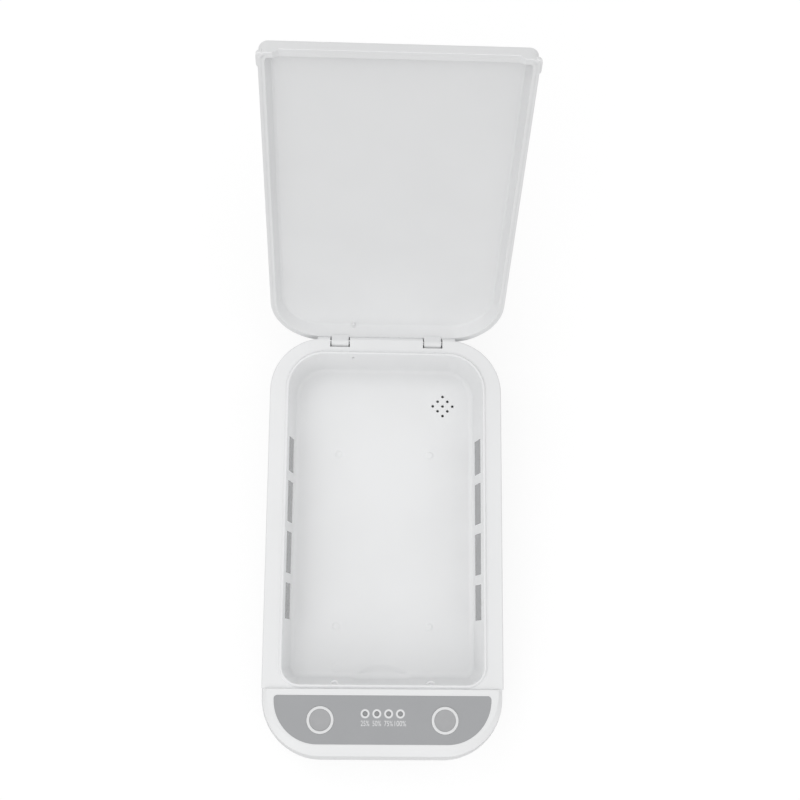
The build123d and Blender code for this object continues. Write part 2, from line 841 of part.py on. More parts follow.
# ---------------------------------------------------------------- control board
with BuildPart() as control_board:
    with BuildSketch(Plane.XY.offset(board_top)):
        with Locations((0, board_centre)):
            RectangleRounded(board_width, board_length, board_corner_radius)
        with Locations(*board_post_places):
            Circle(small_screw_radius + screw_clearance, mode=Mode.SUBTRACT)
    extrude(amount=-board_thickness)
save(control_board.part, "control_board")

board_under = board_top - board_thickness
with BuildPart() as controller_chip:
    with BuildSketch(Plane.XY.offset(board_under)):
        with Locations((-buzzer_offset, board_centre)):
            Rectangle(chip_width, chip_length)
    extrude(amount=-chip_height)
save(controller_chip.part, "controller_chip")

with BuildPart() as buzzer:
    with BuildSketch(Plane.XY.offset(board_under)):
        with Locations((buzzer_offset, board_centre)):
            Circle(buzzer_radius)
    extrude(amount=-buzzer_height)
    with BuildSketch(Plane.XY.offset(board_under - buzzer_height)):
        with Locations((buzzer_offset, board_centre)):
            Circle(buzzer_hole_radius)
    extrude(amount=buzzer_hole_depth, mode=Mode.SUBTRACT)
save(buzzer.part, "buzzer")

# ---------------------------------------------------------------- lamps, holders and reflectors
for label, side in (("left", -1), ("right", 1)):
    lamp_place = (side * lamp_offset, window_middle)
    with BuildPart() as uv_lamp:
        with BuildSketch(Plane.XZ.offset(-lamp_ends[1])):
            with Locations(lamp_place):
                Circle(lamp_radius)
        extrude(amount=lamp_ends[1] - lamp_ends[0])
    save(uv_lamp.part, f"uv_lamp_{label}")

    for end_label, holder_start, bore_start in (
        ("back", lamp_ends[1] + holder_wall, lamp_ends[1]),
        ("front", lamp_ends[0] + holder_length - holder_wall, lamp_ends[0] + holder_length - holder_wall),
    ):
        with BuildPart() as lamp_holder:
            with BuildSketch(Plane.XZ.offset(-holder_start)):
                with Locations((side * (half_width - wall - holder_width / 2), window_middle)):
                    RectangleRounded(holder_width, holder_height, holder_corner_radius)
            extrude(amount=holder_length)
            with BuildSketch(Plane.XZ.offset(-bore_start)):
                with Locations(lamp_place):
                    Circle(lamp_radius + lamp_seat_clearance)
            extrude(amount=holder_length - holder_wall, mode=Mode.SUBTRACT)
        save(lamp_holder.part, f"lamp_holder_{label}_{end_label}")

    reflector_outer = lamp_wall_gap - reflector_gap
    reflector_start = lamp_ends[1] + holder_wall - holder_length
    with BuildPart() as reflector:
        with BuildSketch(Plane.XZ.offset(-reflector_start)):
            with Locations(lamp_place):
                Circle(reflector_outer)
                Circle(reflector_outer - reflector_thickness, mode=Mode.SUBTRACT)
            with Locations((side * (lamp_offset - reflector_outer), window_middle)):
                Rectangle(2 * reflector_outer, 2 * reflector_outer, mode=Mode.SUBTRACT)
        extrude(amount=reflector_start - lamp_ends[0] - holder_length + holder_wall)
    save(reflector.part, f"reflector_{label}")

# ---------------------------------------------------------------- aroma cup, pad and warmer
cup_top = chamber_floor - tray_wall
with BuildPart() as aroma_cup:
    with BuildSketch(Plane.XY.offset(cup_top)):
        with Locations(aroma_place):
            Circle(aroma_cup_radius)
    extrude(amount=-aroma_cup_depth)
    with BuildSketch(Plane.XY.offset(cup_top)):
        with Locations(aroma_place):
            Circle(aroma_cup_radius - aroma_cup_wall)
    extrude(amount=aroma_cup_wall - aroma_cup_depth, mode=Mode.SUBTRACT)
save(aroma_cup.part, "aroma_cup")

with BuildPart() as aroma_pad:
    with BuildSketch(Plane.XY.offset(cup_top - aroma_cup_depth + aroma_cup_wall)):
        with Locations(aroma_place):
            Circle(aroma_cup_radius - aroma_cup_wall - aroma_pad_gap)
    extrude(amount=aroma_cup_depth - aroma_cup_wall - aroma_pad_gap)
save(aroma_pad.part, "aroma_pad")

with BuildPart() as aroma_warmer:
    with BuildSketch(Plane.XY.offset(cup_top - aroma_cup_depth)):
        with Locations(aroma_place):
            Circle(heater_radius)
    extrude(amount=-heater_thickness)
save(aroma_warmer.part, "aroma_warmer")

# ---------------------------------------------------------------- lamp driver and power inlet
driver_top = inner_floor + driver_standoff + board_thickness
with BuildPart() as driver_board:
    with BuildSketch(Plane.XY.offset(driver_top)):
        with Locations(driver_board_place):
            RectangleRounded(driver_board_width, driver_board_length, board_corner_radius)
        with Locations(*driver_post_places):
            Circle(small_screw_radius + screw_clearance, mode=Mode.SUBTRACT)
    extrude(amount=-board_thickness)
save(driver_board.part, "driver_board")

with BuildPart() as driver_transformer:
    with BuildSketch(Plane.XY.offset(driver_top)):
        with Locations(driver_board_place):
            Rectangle(transformer_width, transformer_length)
    extrude(amount=transformer_height)
    with BuildSketch(Plane.XY.offset(driver_top + (transformer_height - winding_height) / 2)):
        with Locations(driver_board_place):
            Rectangle(winding_width, winding_length)
    extrude(amount=winding_height)
save(driver_transformer.part, "driver_transformer")

inlet_mouth = back_edge - inlet_setback
with BuildPart() as power_inlet:
    with BuildSketch(Plane.XZ.offset(-inlet_mouth)):
        with Locations((0, inlet_centre_height)):
            RectangleRounded(inlet_width, inlet_height, inlet_corner_radius)
    extrude(amount=inlet_length)
    with BuildSketch(Plane.XZ.offset(-inlet_mouth)):
        with Locations((0, inlet_centre_height)):
            RectangleRounded(
                inlet_width - 2 * inlet_wall,
                inlet_height - 2 * inlet_wall,
                inlet_corner_radius - inlet_wall,
            )
    extrude(amount=inlet_length - 2 * inlet_wall, mode=Mode.SUBTRACT)
    with BuildSketch(Plane.XZ.offset(-inlet_mouth + inlet_wall)):
        with Locations((0, inlet_centre_height)):
            Rectangle(inlet_tongue_width, inlet_tongue_thickness)
    extrude(amount=inlet_length - inlet_wall)
save(power_inlet.part, "power_inlet")

with BuildPart() as inlet_board:
    with BuildSketch(Plane.XY.offset(inlet_board_top)):
        with Locations(inlet_board_place):
            Rectangle(inlet_board_width, inlet_board_length)
    extrude(amount=-board_thickness)
save(inlet_board.part, "inlet_board")

# ---------------------------------------------------------------- lid sensor behind the chamber's back wall
with BuildPart() as lid_sensor:
    sensor_top = deck_height - deck_thickness - flange_thickness - sensor_gap
    sensor_front = (
        chamber_back + tray_wall + sensor_gap
        - (deck_height - sensor_top) * tan(radians(chamber_taper))
    )
    with BuildSketch(Plane.XY.offset(sensor_top)):
        with Locations((sensor_offset, sensor_front + sensor_length / 2)):
            Rectangle(sensor_width, sensor_length)
    extrude(amount=-sensor_height)
save(lid_sensor.part, "lid_sensor")

# ---------------------------------------------------------------- feet
foot_names = ["front_left", "front_right", "back_left", "back_right"]
for label, place in zip(foot_names, foot_places):
    with BuildPart() as foot:
        with BuildSketch():
            with Locations(place):
                Circle(foot_radius)
        extrude(amount=foot_thickness)
        fillet(foot.faces().sort_by(Axis.Z)[0].edges(), foot_edge_radius)
    save(foot.part, f"foot_{label}")


# ---------------------------------------------------------------- screws
def screws(places, head_face, up, radius, head_radius, head_height, length):
    """Cross-head screws side by side; up is the way their points look, heads behind head_face."""
    slot_length = 2 * (head_radius - screw_slot_margin)
    with BuildPart(mode=Mode.PRIVATE) as group:
        with BuildSketch(Plane.XY.offset(head_face)):
            with Locations(*places):
                Circle(radius)
        extrude(amount=up * length)
        with BuildSketch(Plane.XY.offset(head_face)):
            with Locations(*places):
                Circle(head_radius)
        extrude(amount=-up * head_height)
        with BuildSketch(Plane.XY.offset(head_face - up * head_height)):
            with Locations(*places):
                Rectangle(slot_length, screw_slot_width)
                Rectangle(screw_slot_width, slot_length)
        extrude(amount=up * head_height / 2, mode=Mode.SUBTRACT)
    return group.part


small_screw = (small_screw_radius, small_head_radius, small_head_height, small_screw_length)
save(
    screws(
        case_screw_places, underside_height + screw_head_height, 1,
        screw_radius, screw_head_radius, screw_head_height, case_screw_length,
    ),
    "case_screws",
)
save(screws(board_post_places, board_under, 1, *small_screw), "control_board_screws")
save(screws(driver_post_places, driver_top, -1, *small_screw), "driver_board_screws")
tray_screw = (small_screw_radius, small_head_radius, screw_well_depth, small_screw_length)
save(screws(tray_screw_places, chamber_floor - screw_well_depth, -1, *tray_screw), "tray_screws")
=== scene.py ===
"""Dresses the phone sanitizer box: shells, tray, lid, panel, buttons and inside parts.

Every length is in metres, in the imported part's frame: X to the user's right, Y to the hinge, Z up.
"""

import json

import bmesh
import bpy
import numpy as np
from bpy.props import FloatProperty, FloatVectorProperty, IntProperty
from mathutils import Matrix, Vector

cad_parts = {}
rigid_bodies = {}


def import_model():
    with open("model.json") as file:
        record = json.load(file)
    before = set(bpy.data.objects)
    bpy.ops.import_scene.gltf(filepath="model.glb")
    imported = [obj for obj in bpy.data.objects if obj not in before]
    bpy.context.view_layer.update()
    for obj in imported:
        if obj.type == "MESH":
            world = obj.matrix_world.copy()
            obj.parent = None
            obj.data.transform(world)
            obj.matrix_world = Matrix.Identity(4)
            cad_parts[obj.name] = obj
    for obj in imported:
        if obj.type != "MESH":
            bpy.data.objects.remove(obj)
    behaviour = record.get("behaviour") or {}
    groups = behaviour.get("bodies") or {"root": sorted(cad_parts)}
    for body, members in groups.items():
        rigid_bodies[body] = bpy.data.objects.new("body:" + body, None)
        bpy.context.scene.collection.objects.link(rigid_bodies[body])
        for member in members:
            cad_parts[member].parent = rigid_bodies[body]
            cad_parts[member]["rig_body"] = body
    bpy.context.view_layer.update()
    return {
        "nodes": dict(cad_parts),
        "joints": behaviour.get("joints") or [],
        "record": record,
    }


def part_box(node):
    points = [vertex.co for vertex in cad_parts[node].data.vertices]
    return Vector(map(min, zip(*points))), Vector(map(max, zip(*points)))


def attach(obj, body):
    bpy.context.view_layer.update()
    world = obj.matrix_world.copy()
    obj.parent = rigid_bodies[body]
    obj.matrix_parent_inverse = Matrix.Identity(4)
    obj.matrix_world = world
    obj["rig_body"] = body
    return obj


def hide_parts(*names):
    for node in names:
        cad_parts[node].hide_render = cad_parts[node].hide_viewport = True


bl_info = {
    "name": "Phone sanitizer box",
    "version": (1, 0, 0),
    "blender": (4, 5, 0),
    "location": "View3D > Sidebar > Sanitizer",
    "description": "Builds the visible pieces and finishes of a phone sanitizer box",
    "category": "Add Mesh",
}

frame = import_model()
MM = 0.001

TRAY_LOW, TRAY_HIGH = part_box("chamber_tray")
COVER_LOW, COVER_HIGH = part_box("bottom_cover")
OVERLAY_LOW, OVERLAY_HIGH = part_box("control_overlay")
HINGE = next(joint for joint in frame["joints"] if joint["name"] == "lid_hinge")


# ------------------------------------------------------------------ sizes that a user would change


def length(name, description, millimetres):
    """A property for a length."""
    return FloatProperty(
        name=name, description=description, default=millimetres * MM, precision=5,
        unit="LENGTH", subtype="DISTANCE",
    )


def angle(name, description, degrees):
    """A property for an angle."""
    return FloatProperty(
        name=name, description=description, default=np.radians(degrees), subtype="ANGLE"
    )


def colour(name, description, default):
    """A property for a colour."""
    return FloatVectorProperty(
        name=name, description=description, default=default, subtype="COLOR", min=0.0, max=1.0
    )


class CasingSizes(bpy.types.PropertyGroup):
    """Sizes of the two white casing shells and the control panel."""

    front_radius: length("Front corner radius", "Corner radius at the panel", 30.0)
    back_radius: length("Back corner radius", "Corner radius at the hinge", 28.0)
    wall: length("Wall", "Thickness of the casing", 2.2)
    deck_edge: length("Deck edge radius", "Rounding along the deck's edge", 0.8)
    parting: length("Parting height", "Height of the line between the two shells", 12.0)
    parting_bevel: length("Parting bevel", "Bevel on both sides of the parting line", 0.3)
    underside_edge: length("Underside edge radius", "Rounding around the underside", 3.0)
    panel_rise: length("Panel rise", "Height of the panel over the deck", 1.0)
    panel_seam: length("Panel seam", "Y of the line where the panel starts", -72.1)
    panel_round: length("Panel rounding height", "Height of the panel's rounded edge", 7.5)
    panel_crease: length("Panel crease inset", "Inset of the crease in the panel's front edge", 2.0)
    panel_slope: length("Panel slope height", "Drop from the panel's top to that crease", 1.5)
    panel_side: length("Panel rounding at the sides", "Run of the rounded edge at the sides", 2.8)
    panel_front: length("Panel rounding at the front", "Run of the rounded edge in front", 7.3)
    overlay_front_radius: length("Overlay front radius", "Corner radius of the film in front", 21.6)
    overlay_back_radius: length("Overlay back radius", "Corner radius of the film behind", 1.8)


class TraySizes(bpy.types.PropertyGroup):
    """Sizes of the chamber tray."""

    half_width: length("Half width", "Half the chamber's mouth", 50.3)
    front: length("Front", "Y of the chamber's front edge at the deck", -70.0)
    back: length("Back", "Y of the chamber's back edge at the deck", 97.9)
    front_radius: length("Front corner radius", "Corner radius of the mouth in front", 9.0)
    back_radius: length("Back corner radius", "Corner radius of the mouth behind", 18.6)
    wall: length("Tray wall", "Thickness of the tray", 1.7)
    taper: angle("Taper", "Lean of the chamber's walls", 9.2)
    floor_radius: length("Floor radius", "Rounding between wall and floor", 3.0)
    bead_edge: length("Bead radius", "Rounding of the raised bead", 0.55)
    window_rib: length("Window rib", "Width of the ribs between windows", 5.0)
    window_sill: length("Window sill", "Height of the windows over the floor", 4.6)
    window_head: length("Window head", "Depth of the windows' tops under the deck", 4.8)
    hole_radius: length("Perforation radius", "Radius of the holes over the aroma pad", 0.75)
    hole_pitch: length("Perforation pitch", "Spacing of the holes over the aroma pad", 3.7)


class LidSizes(bpy.types.PropertyGroup):
    """Sizes of the lid, in the plane that turns with it."""

    thickness: length("Lid thickness", "Depth of the lid from rim to face", 9.5)
    edge_radius: length("Lid edge radius", "Rounding around the lid's face", 1.6)
    inset: length("Lid inset", "How far the lid's side stands in from the casing's", 0.2)
    wall: length("Lid wall", "Thickness of the lid's shell", 1.5)
    rim: length("Lid rim", "Width of the whole rim, shell and liner", 2.9)
    slope: angle("Liner slope", "Lean of the liner's walls", 20.0)
    relief_height: length("Relief height", "Height of the relief in the front wall", 2.6)
    relief_half: length("Relief half width", "Half the width of that relief", 50.9)


class ControlSizes(bpy.types.PropertyGroup):
    """Sizes of the buttons and the progress lights."""

    button_radius: length("Button radius", "Radius of a button's cap", 6.7)
    ring_width: length("Ring width", "Width of the white ring round a button's disc", 1.4)
    light_radius: length("Light radius", "Radius of a light pipe's end", 1.2)
    ring_radius: length("Light ring", "Outer radius of the printed ring round a light", 2.2)
    number_height: length("Number height", "Height of the numbers under the lights", 2.6)
    number_drop: length("Number drop", "Distance from a light down to its number", 4.6)
    mark_count: IntProperty(
        name="Numbers", description="How many lights have a number", default=4, min=1
    )


class Finishes(bpy.types.PropertyGroup):
    """Colours of the outside."""

    casing: colour("Casing", "White of the casing shells", (0.80, 0.805, 0.81))
    lining: colour("Lining", "White of the tray and the lid's liner", (0.81, 0.815, 0.82))
    overlay: colour("Overlay", "Grey of the printed film", (0.355, 0.36, 0.37))
    disc: colour("Disc", "Grey of the buttons' discs", (0.388, 0.39, 0.398))
    ring: colour("Ring", "White of the buttons' rings and the printing", (0.74, 0.745, 0.75))


# ------------------------------------------------------------------ outlines, profiles and skins

CORNER_STEPS = 20
SIDE_STEPS = 30
END_STEPS = 30
SHARP = np.radians(32.0)
WELD = 1e-6
LEAST_RADIUS = 0.02 * MM
AXIS_RADIUS = 0.02 * MM


def outline(half, front, back, front_radius, back_radius, marks=()):
    """Loop round a rectangle with quarter-circle corners, anticlockwise from the front right.

    Each corner is centre + radius * (cos a, sin a) over a quarter turn, and each straight is
    divided evenly, the front one between the places in marks. Every loop has as many points, so
    any two of them can be joined point by point.
    """
    front_radius = max(front_radius, LEAST_RADIUS)
    back_radius = max(back_radius, LEAST_RADIUS)
    turn = np.linspace(0.0, np.pi / 2, CORNER_STEPS + 1)
    corners = (
        (half - front_radius, front + front_radius, front_radius, -np.pi / 2),
        (half - back_radius, back - back_radius, back_radius, 0.0),
        (back_radius - half, back - back_radius, back_radius, np.pi / 2),
        (front_radius - half, front + front_radius, front_radius, np.pi),
    )
    arcs = [
        np.column_stack((x + radius * np.cos(start + turn), y + radius * np.sin(start + turn)))
        for x, y, radius, start in corners
    ]
    reach = half - front_radius
    limit = reach * (1 - 1e-3)
    stops = np.concatenate(([-reach], np.clip(marks, -limit, limit), [reach]))
    places = np.linspace(0, len(stops) - 1, END_STEPS + 1)[1:-1]
    fronts = np.interp(places, np.arange(len(stops)), stops)
    steps = (SIDE_STEPS, END_STEPS, SIDE_STEPS)
    pieces = []
    for index, count in enumerate(steps):
        share = np.linspace(0.0, 1.0, count + 1)[1:-1, None]
        pieces += [arcs[index], arcs[index][-1] * (1 - share) + arcs[index + 1][0] * share]
    pieces += [arcs[3], np.column_stack((fronts, np.full(len(fronts), front)))]
    return np.vstack(pieces)


def rounded(*corners, steps=6):
    """Line through (across, up, radius) corners, each replaced by an arc of that radius.

    The arc touches both of its legs at radius / tan(half the angle between them), and its centre
    lies on the bisector at radius / sin(half that angle).
    """
    points = np.array([corner[:2] for corner in corners], float)
    line = [points[0]]
    for index in range(1, len(corners) - 1):
        radius = corners[index][2] if len(corners[index]) > 2 else 0.0
        if radius == 0.0:
            line.append(points[index])
            continue
        before = points[index - 1] - points[index]
        after = points[index + 1] - points[index]
        before /= np.linalg.norm(before)
        after /= np.linalg.norm(after)
        half = np.arccos(np.clip(before @ after, -1.0, 1.0)) / 2
        bisector = (before + after) / np.linalg.norm(before + after)
        centre = points[index] + bisector * radius / np.sin(half)
        first = points[index] + before * radius / np.tan(half) - centre
        last = points[index] + after * radius / np.tan(half) - centre
        swing = np.pi - 2 * half
        share = np.linspace(0.0, 1.0, steps + 1)[:, None]
        arc = (np.sin((1 - share) * swing) * first + np.sin(share * swing) * last) / np.sin(swing)
        line.extend(centre + arc)
    line.append(points[-1])
    return np.array(line)


def at_height(loop, height):
    """The loop laid flat at a height."""
    return np.column_stack((loop, np.full(len(loop), height)))


def at_y(loop, y):
    """The loop stood upright, across X and Z."""
    return np.column_stack((loop[:, 0], np.full(len(loop), y), loop[:, 1]))


class Skin:
    """Grids of points gathered into one mesh."""

    def __init__(self):
        self.points, self.faces, self.count = [], [], 0

    def add(self, points, faces):
        """Takes points and the faces between them, which count from the first of these points."""
        self.points.append(np.asarray(points, float).reshape(-1, 3))
        self.faces.extend((np.asarray(faces) + self.count).tolist())
        self.count += len(self.points[-1])

    def grid(self, rows, around=True, closed=False, keep=None):
        """Quads between neighbours in rows of points: row i to i + 1, column j to j + 1.

        around joins the last column to the first, closed joins the last row to the first, and keep
        is a mask of the quads that stay.
        """
        rows = np.asarray(rows, float)
        high, wide = rows.shape[:2]
        number = np.arange(high * wide).reshape(high, wide)
        if around:
            number = np.hstack((number, number[:, :1]))
        if closed:
            number = np.vstack((number, number[:1]))
        quads = np.stack(
            (number[:-1, :-1], number[:-1, 1:], number[1:, 1:], number[1:, :-1]), axis=-1
        )
        quads = quads.reshape(-1, 4) if keep is None else quads[keep]
        self.add(rows, quads)

    def cap(self, ring, flip=False):
        """One flat face across a loop of points."""
        order = np.arange(len(ring))
        self.add(ring, [order[::-1] if flip else order])

    def tube(self, rows, reverse=False):
        """Loops joined in order, with a flat face across each end."""
        self.grid(rows)
        self.cap(rows[0], flip=not reverse)
        self.cap(rows[-1], flip=reverse)

    def make(self, name, turn_out=True):
        """The mesh as an object, welded, turned outwards and smooth but for its sharp edges."""
        mesh = bpy.data.meshes.new(name)
        mesh.from_pydata(np.vstack(self.points).tolist(), [], self.faces)
        finish_mesh(mesh, turn_out)
        piece = bpy.data.objects.new(name, mesh)
        bpy.context.scene.collection.objects.link(piece)
        return piece


def finish_mesh(mesh, turn_out):
    """Welds doubles, turns faces outwards and shades smooth between sharp edges."""
    work = bmesh.new()
    work.from_mesh(mesh)
    bmesh.ops.remove_doubles(work, verts=work.verts, dist=WELD)
    bmesh.ops.dissolve_degenerate(work, edges=work.edges, dist=WELD)
    if turn_out:
        bmesh.ops.recalc_face_normals(work, faces=work.faces)
    work.to_mesh(mesh)
    work.free()
    mesh.polygons.foreach_set("use_smooth", np.ones(len(mesh.polygons), bool))
    mesh.set_sharp_from_angle(angle=SHARP)
    mesh.update()


def tube(name, rows, reverse=False):
    """One closed tube of loops, as an object."""
    skin = Skin()
    skin.tube(rows, reverse)
    return skin.make(name)


def circle(x, y, radius, steps):
    """Points evenly round a circle: x + r cos a, y + r sin a."""
    turn = np.linspace(0.0, 2 * np.pi, steps, endpoint=False)
    return np.column_stack((x + radius * np.cos(turn), y + radius * np.sin(turn)))


def spin(profile, steps):
    """A (radius, place) profile turned about a line: r cos a, r sin a and the place along it."""
    turn = np.linspace(0.0, 2 * np.pi, steps, endpoint=False)
    profile = np.asarray(profile, float)
    radius, place = profile[:, :1], profile[:, 1:]
    return radius * np.cos(turn), radius * np.sin(turn), place + 0 * turn


def lathe(skin, centre, profile, steps):
    """Turns a (radius, height) profile about the upright line through centre."""
    across, along, height = spin(profile, steps)
    skin.grid(np.stack((centre[0] + across, centre[1] + along, height), axis=-1))


def lathe_along_y(skin, x, z, profile, steps):
    """Turns a (radius, y) profile about the line along Y through x and z."""
    rise, across, y = spin(profile, steps)
    skin.grid(np.stack((x + across, y, z + rise), axis=-1))


def carve(piece, cutter):
    """Takes the cutter's shape out of the piece, and the cutter out of the scene."""
    cut = piece.modifiers.new("carve", "BOOLEAN")
    cut.operation = "DIFFERENCE"
    cut.solver = "EXACT"
    cut.object = cutter
    settle(piece)
    bpy.data.objects.remove(cutter)


def settle(piece):
    """Applies the piece's modifiers and shades the result again."""
    graph = bpy.context.evaluated_depsgraph_get()
    result = bpy.data.meshes.new_from_object(piece.evaluated_get(graph))
    piece.modifiers.clear()
    piece.data = result
    finish_mesh(result, turn_out=False)


def block(low, high):
    """A closed box between two corners, as a cutter."""
    low, high = np.array(low, float), np.array(high, float)
    pick = np.array([[i, j, k] for k in (0, 1) for j in (0, 1) for i in (0, 1)])
    skin = Skin()
    faces = [(0, 2, 3, 1), (4, 5, 7, 6), (0, 1, 5, 4), (2, 6, 7, 3), (0, 4, 6, 2), (1, 3, 7, 5)]
    skin.add(low + pick * (high - low), faces)
    return skin.make("cutter")


def discs(places, radius, low, high, steps=48):
    """Closed upright cylinders at these places, as one cutter."""
    skin = Skin()
    for place in places:
        ring = circle(place[0], place[1], radius, steps)
        skin.tube([at_height(ring, low), at_height(ring, high)])
    return skin.make("cutter")


# ------------------------------------------------------------------ finishes


class Wire:
    """A socket of a material, with arithmetic that adds Math nodes."""

    def __init__(self, bench, socket):
        self.bench, self.socket = bench, socket

    def _math(self, operation, *values):
        return self.bench.node("ShaderNodeMath", {"operation": operation}, *values)

    def __add__(self, other):
        return self._math("ADD", self, other)

    def __radd__(self, other):
        return self._math("ADD", other, self)

    def __sub__(self, other):
        return self._math("SUBTRACT", self, other)

    def __mul__(self, other):
        return self._math("MULTIPLY", self, other)

    def above(self, edge, softness):
        """Rises from 0 to 1 across edge, over twice the softness."""
        return self.bench.node(
            "ShaderNodeMapRange",
            {"interpolation_type": "SMOOTHSTEP"},
            self, edge - softness, edge + softness, 0.0, 1.0,
        )


class Bench:
    """A material being made: one method adds its nodes, another sets its shader's sockets."""

    def __init__(self, name):
        self.material = bpy.data.materials.new(name)
        self.material.use_nodes = True
        self.tree = self.material.node_tree
        self.shader = next(n for n in self.tree.nodes if n.bl_idname == "ShaderNodeBsdfPrincipled")
        self.place = self.node("ShaderNodeTexCoord", {}, pick="Object")
        self.noises = {}

    def node(self, kind, settings, *values, pick=0, **named):
        """Adds a node, sets it up, feeds its sockets in order or by name, and gives an output."""
        made = self.tree.nodes.new(kind)
        for key, value in settings.items():
            setattr(made, key, value)
        for key, value in (*enumerate(values), *named.items()):
            self.feed(made.inputs[key], value)
        return Wire(self, made.outputs[pick])

    def feed(self, socket, value):
        """Links a wire to a socket, or sets the socket's own value, a colour being made opaque."""
        if isinstance(value, Wire):
            self.tree.links.new(value.socket, socket)
        elif value is not None:
            socket.default_value = (*value, 1.0) if socket.type == "RGBA" else value

    def set(self, **sockets):
        """Sets the shader's sockets, written with _ for a space."""
        for key, value in sockets.items():
            self.feed(self.shader.inputs[key.replace("_", " ")], value)
        return self.material

    def noise(self, size, detail=3.0, roughness=0.5):
        """Even noise from 0 to 1, whose lumps are about this size in millimetres."""
        key = (size, detail, roughness)
        if key not in self.noises:
            self.noises[key] = self.node(
                "ShaderNodeTexNoise", {},
                Vector=self.place, Scale=1.0 / (size * MM), Detail=detail, Roughness=roughness,
            )
        return self.noises[key]

    def mix(self, mask, low, high):
        """Blend of two colours by a mask."""
        other_types = [None] * 5
        return self.node(
            "ShaderNodeMix", {"data_type": "RGBA"}, mask, *other_types, low, high, pick=2
        )

    def tones(self, mask, base, low, high):
        """Blend by a mask of one colour made darker or lighter by two factors."""
        return self.mix(mask, shade(base, low), shade(base, high))

    def bump(self, height, distance, strength):
        """Normal of a surface raised by height times a distance in millimetres."""
        return self.node(
            "ShaderNodeBump", {}, Height=height, Distance=distance * MM, Strength=strength
        )


def shade(base, share):
    """A colour made darker or lighter by a factor."""
    return tuple(min(1.0, channel * share) for channel in base)


def patchy(name, base, patch, edge, tones, gloss, relief=None, **sockets):
    """Patches in two tones of one colour, with a gloss and a relief that follow noises.

    patch is a noise's size, detail and roughness, and edge the level and softness of the step
    between the tones. gloss is a roughness, its swing and its noise, relief a height, its strength
    and its noise.
    """
    bench = Bench(name)
    roughness, swing, *noise = gloss
    if relief:
        height, strength, *grain = relief
        sockets["Normal"] = bench.bump(bench.noise(*grain), height, strength)
    return bench.set(
        Base_Color=bench.tones(bench.noise(*patch).above(*edge), base, *tones),
        Roughness=roughness + (bench.noise(*noise) - 0.5) * swing,
        **sockets,
    )


def moulded_white(name, base, roughness, grain):
    """Moulded white plastic: spark-eroded grain, faint flow marks and handling haze."""
    bench = Bench(name)
    pores, flow = bench.noise(grain, 4.0, 0.6), bench.noise(38.0, 2.0)
    haze = bench.noise(9.0, 5.0, 0.65)
    return bench.set(
        Base_Color=bench.tones(flow.above(0.5, 0.2), base, 0.988, 1.006),
        Roughness=roughness + (haze - 0.5) * 0.12 + (pores - 0.5) * 0.1,
        IOR=1.49,
        Normal=bench.bump(pores + flow * 2.0, grain * 0.16, 0.35),
    )


def printed_film(name, base):
    """Grey polyester film with a fine velvet texture over an even print."""
    bench = Bench(name)
    velvet = bench.noise(0.16, 3.0, 0.7)
    tone = bench.tones(bench.noise(14.0).above(0.5, 0.25), base, 0.985, 1.012)
    return bench.set(
        Base_Color=bench.mix(velvet.above(0.56, 0.2), tone, shade(base, 1.05)),
        Roughness=0.46 + (velvet - 0.5) * 0.16,
        Specular_IOR_Level=0.42,
        Normal=bench.bump(velvet, 0.02, 0.4),
    )


def satin_disc(name, base):
    """Satin button face, mottled a little by wear."""
    wear = (3.2, 4.0)
    gloss, relief = (0.42, 0.14, *wear), (0.02, 0.4, 0.22, 3.0)
    return patchy(name, base, wear, (0.52, 0.2), (0.985, 1.02), gloss, relief)


def milky_acrylic(name, base):
    """Unlit light pipe: milky acrylic whose end looks grey, with a polished face."""
    cloud = (0.9, 3.0)
    gloss = (0.16, 0.1, *cloud)
    return patchy(name, base, cloud, (0.5, 0.3), (0.93, 1.0), gloss, IOR=1.49, Coat_Weight=0.3)


def dark_resin(name, base, roughness=0.5):
    """Moulded parts on the boards: dark resin with fine speckle."""
    speckle = (0.18, 4.0, 0.7)
    gloss, relief = (roughness, 0.2, *speckle), (0.03, 0.5, *speckle)
    return patchy(name, base, speckle, (0.55, 0.15), (1.0, 1.7), gloss, relief)


def soft_rubber(name, base):
    """Silicone or rubber: dull, with dust in its pores."""
    pores = (0.35, 5.0, 0.7)
    gloss, relief = (0.74, 0.2, *pores), (0.05, 0.6, *pores)
    return patchy(name, base, (4.0, 4.0), (0.58, 0.15), (1.0, 1.18), gloss, relief)


def solder_mask(name, base):
    """Green board: lacquer over a weave of glass, darker over the copper tracks."""
    bench = Bench(name)
    weave = bench.node(
        "ShaderNodeTexWave", {"bands_direction": "X"},
        Vector=bench.place, Scale=260.0, Distortion=1.5,
    )
    tracks = bench.node(
        "ShaderNodeTexVoronoi", {"distance": "MANHATTAN"}, Vector=bench.place, Scale=320.0
    )
    copper = tracks.above(0.34, 0.05)
    return bench.set(
        Base_Color=bench.tones(copper, base, 1.5, 1.0),
        Roughness=0.28 + weave * 0.08,
        Coat_Weight=0.4,
        Normal=bench.bump(copper * 0.6 + weave * 0.2, 0.03, 0.5),
    )


def bare_metal(name, base, roughness, lines=0.25):
    """Rolled or turned metal: fine lines along X and small stains."""
    bench = Bench(name)
    stretched = bench.node(
        "ShaderNodeMapping", {"vector_type": "POINT"},
        Vector=bench.place, Scale=(40.0, 2500.0, 2500.0),
    )
    grain = bench.node("ShaderNodeTexNoise", {}, Vector=stretched, Scale=1.0, Detail=4.0)
    stain = bench.noise(2.5, 4.0)
    return bench.set(
        Base_Color=bench.tones(stain.above(0.55, 0.15), base, 1.0, 0.86),
        Metallic=1.0,
        Roughness=roughness + (grain - 0.5) * lines + (stain - 0.5) * 0.15,
        Normal=bench.bump(grain, 0.02, 0.35),
    )


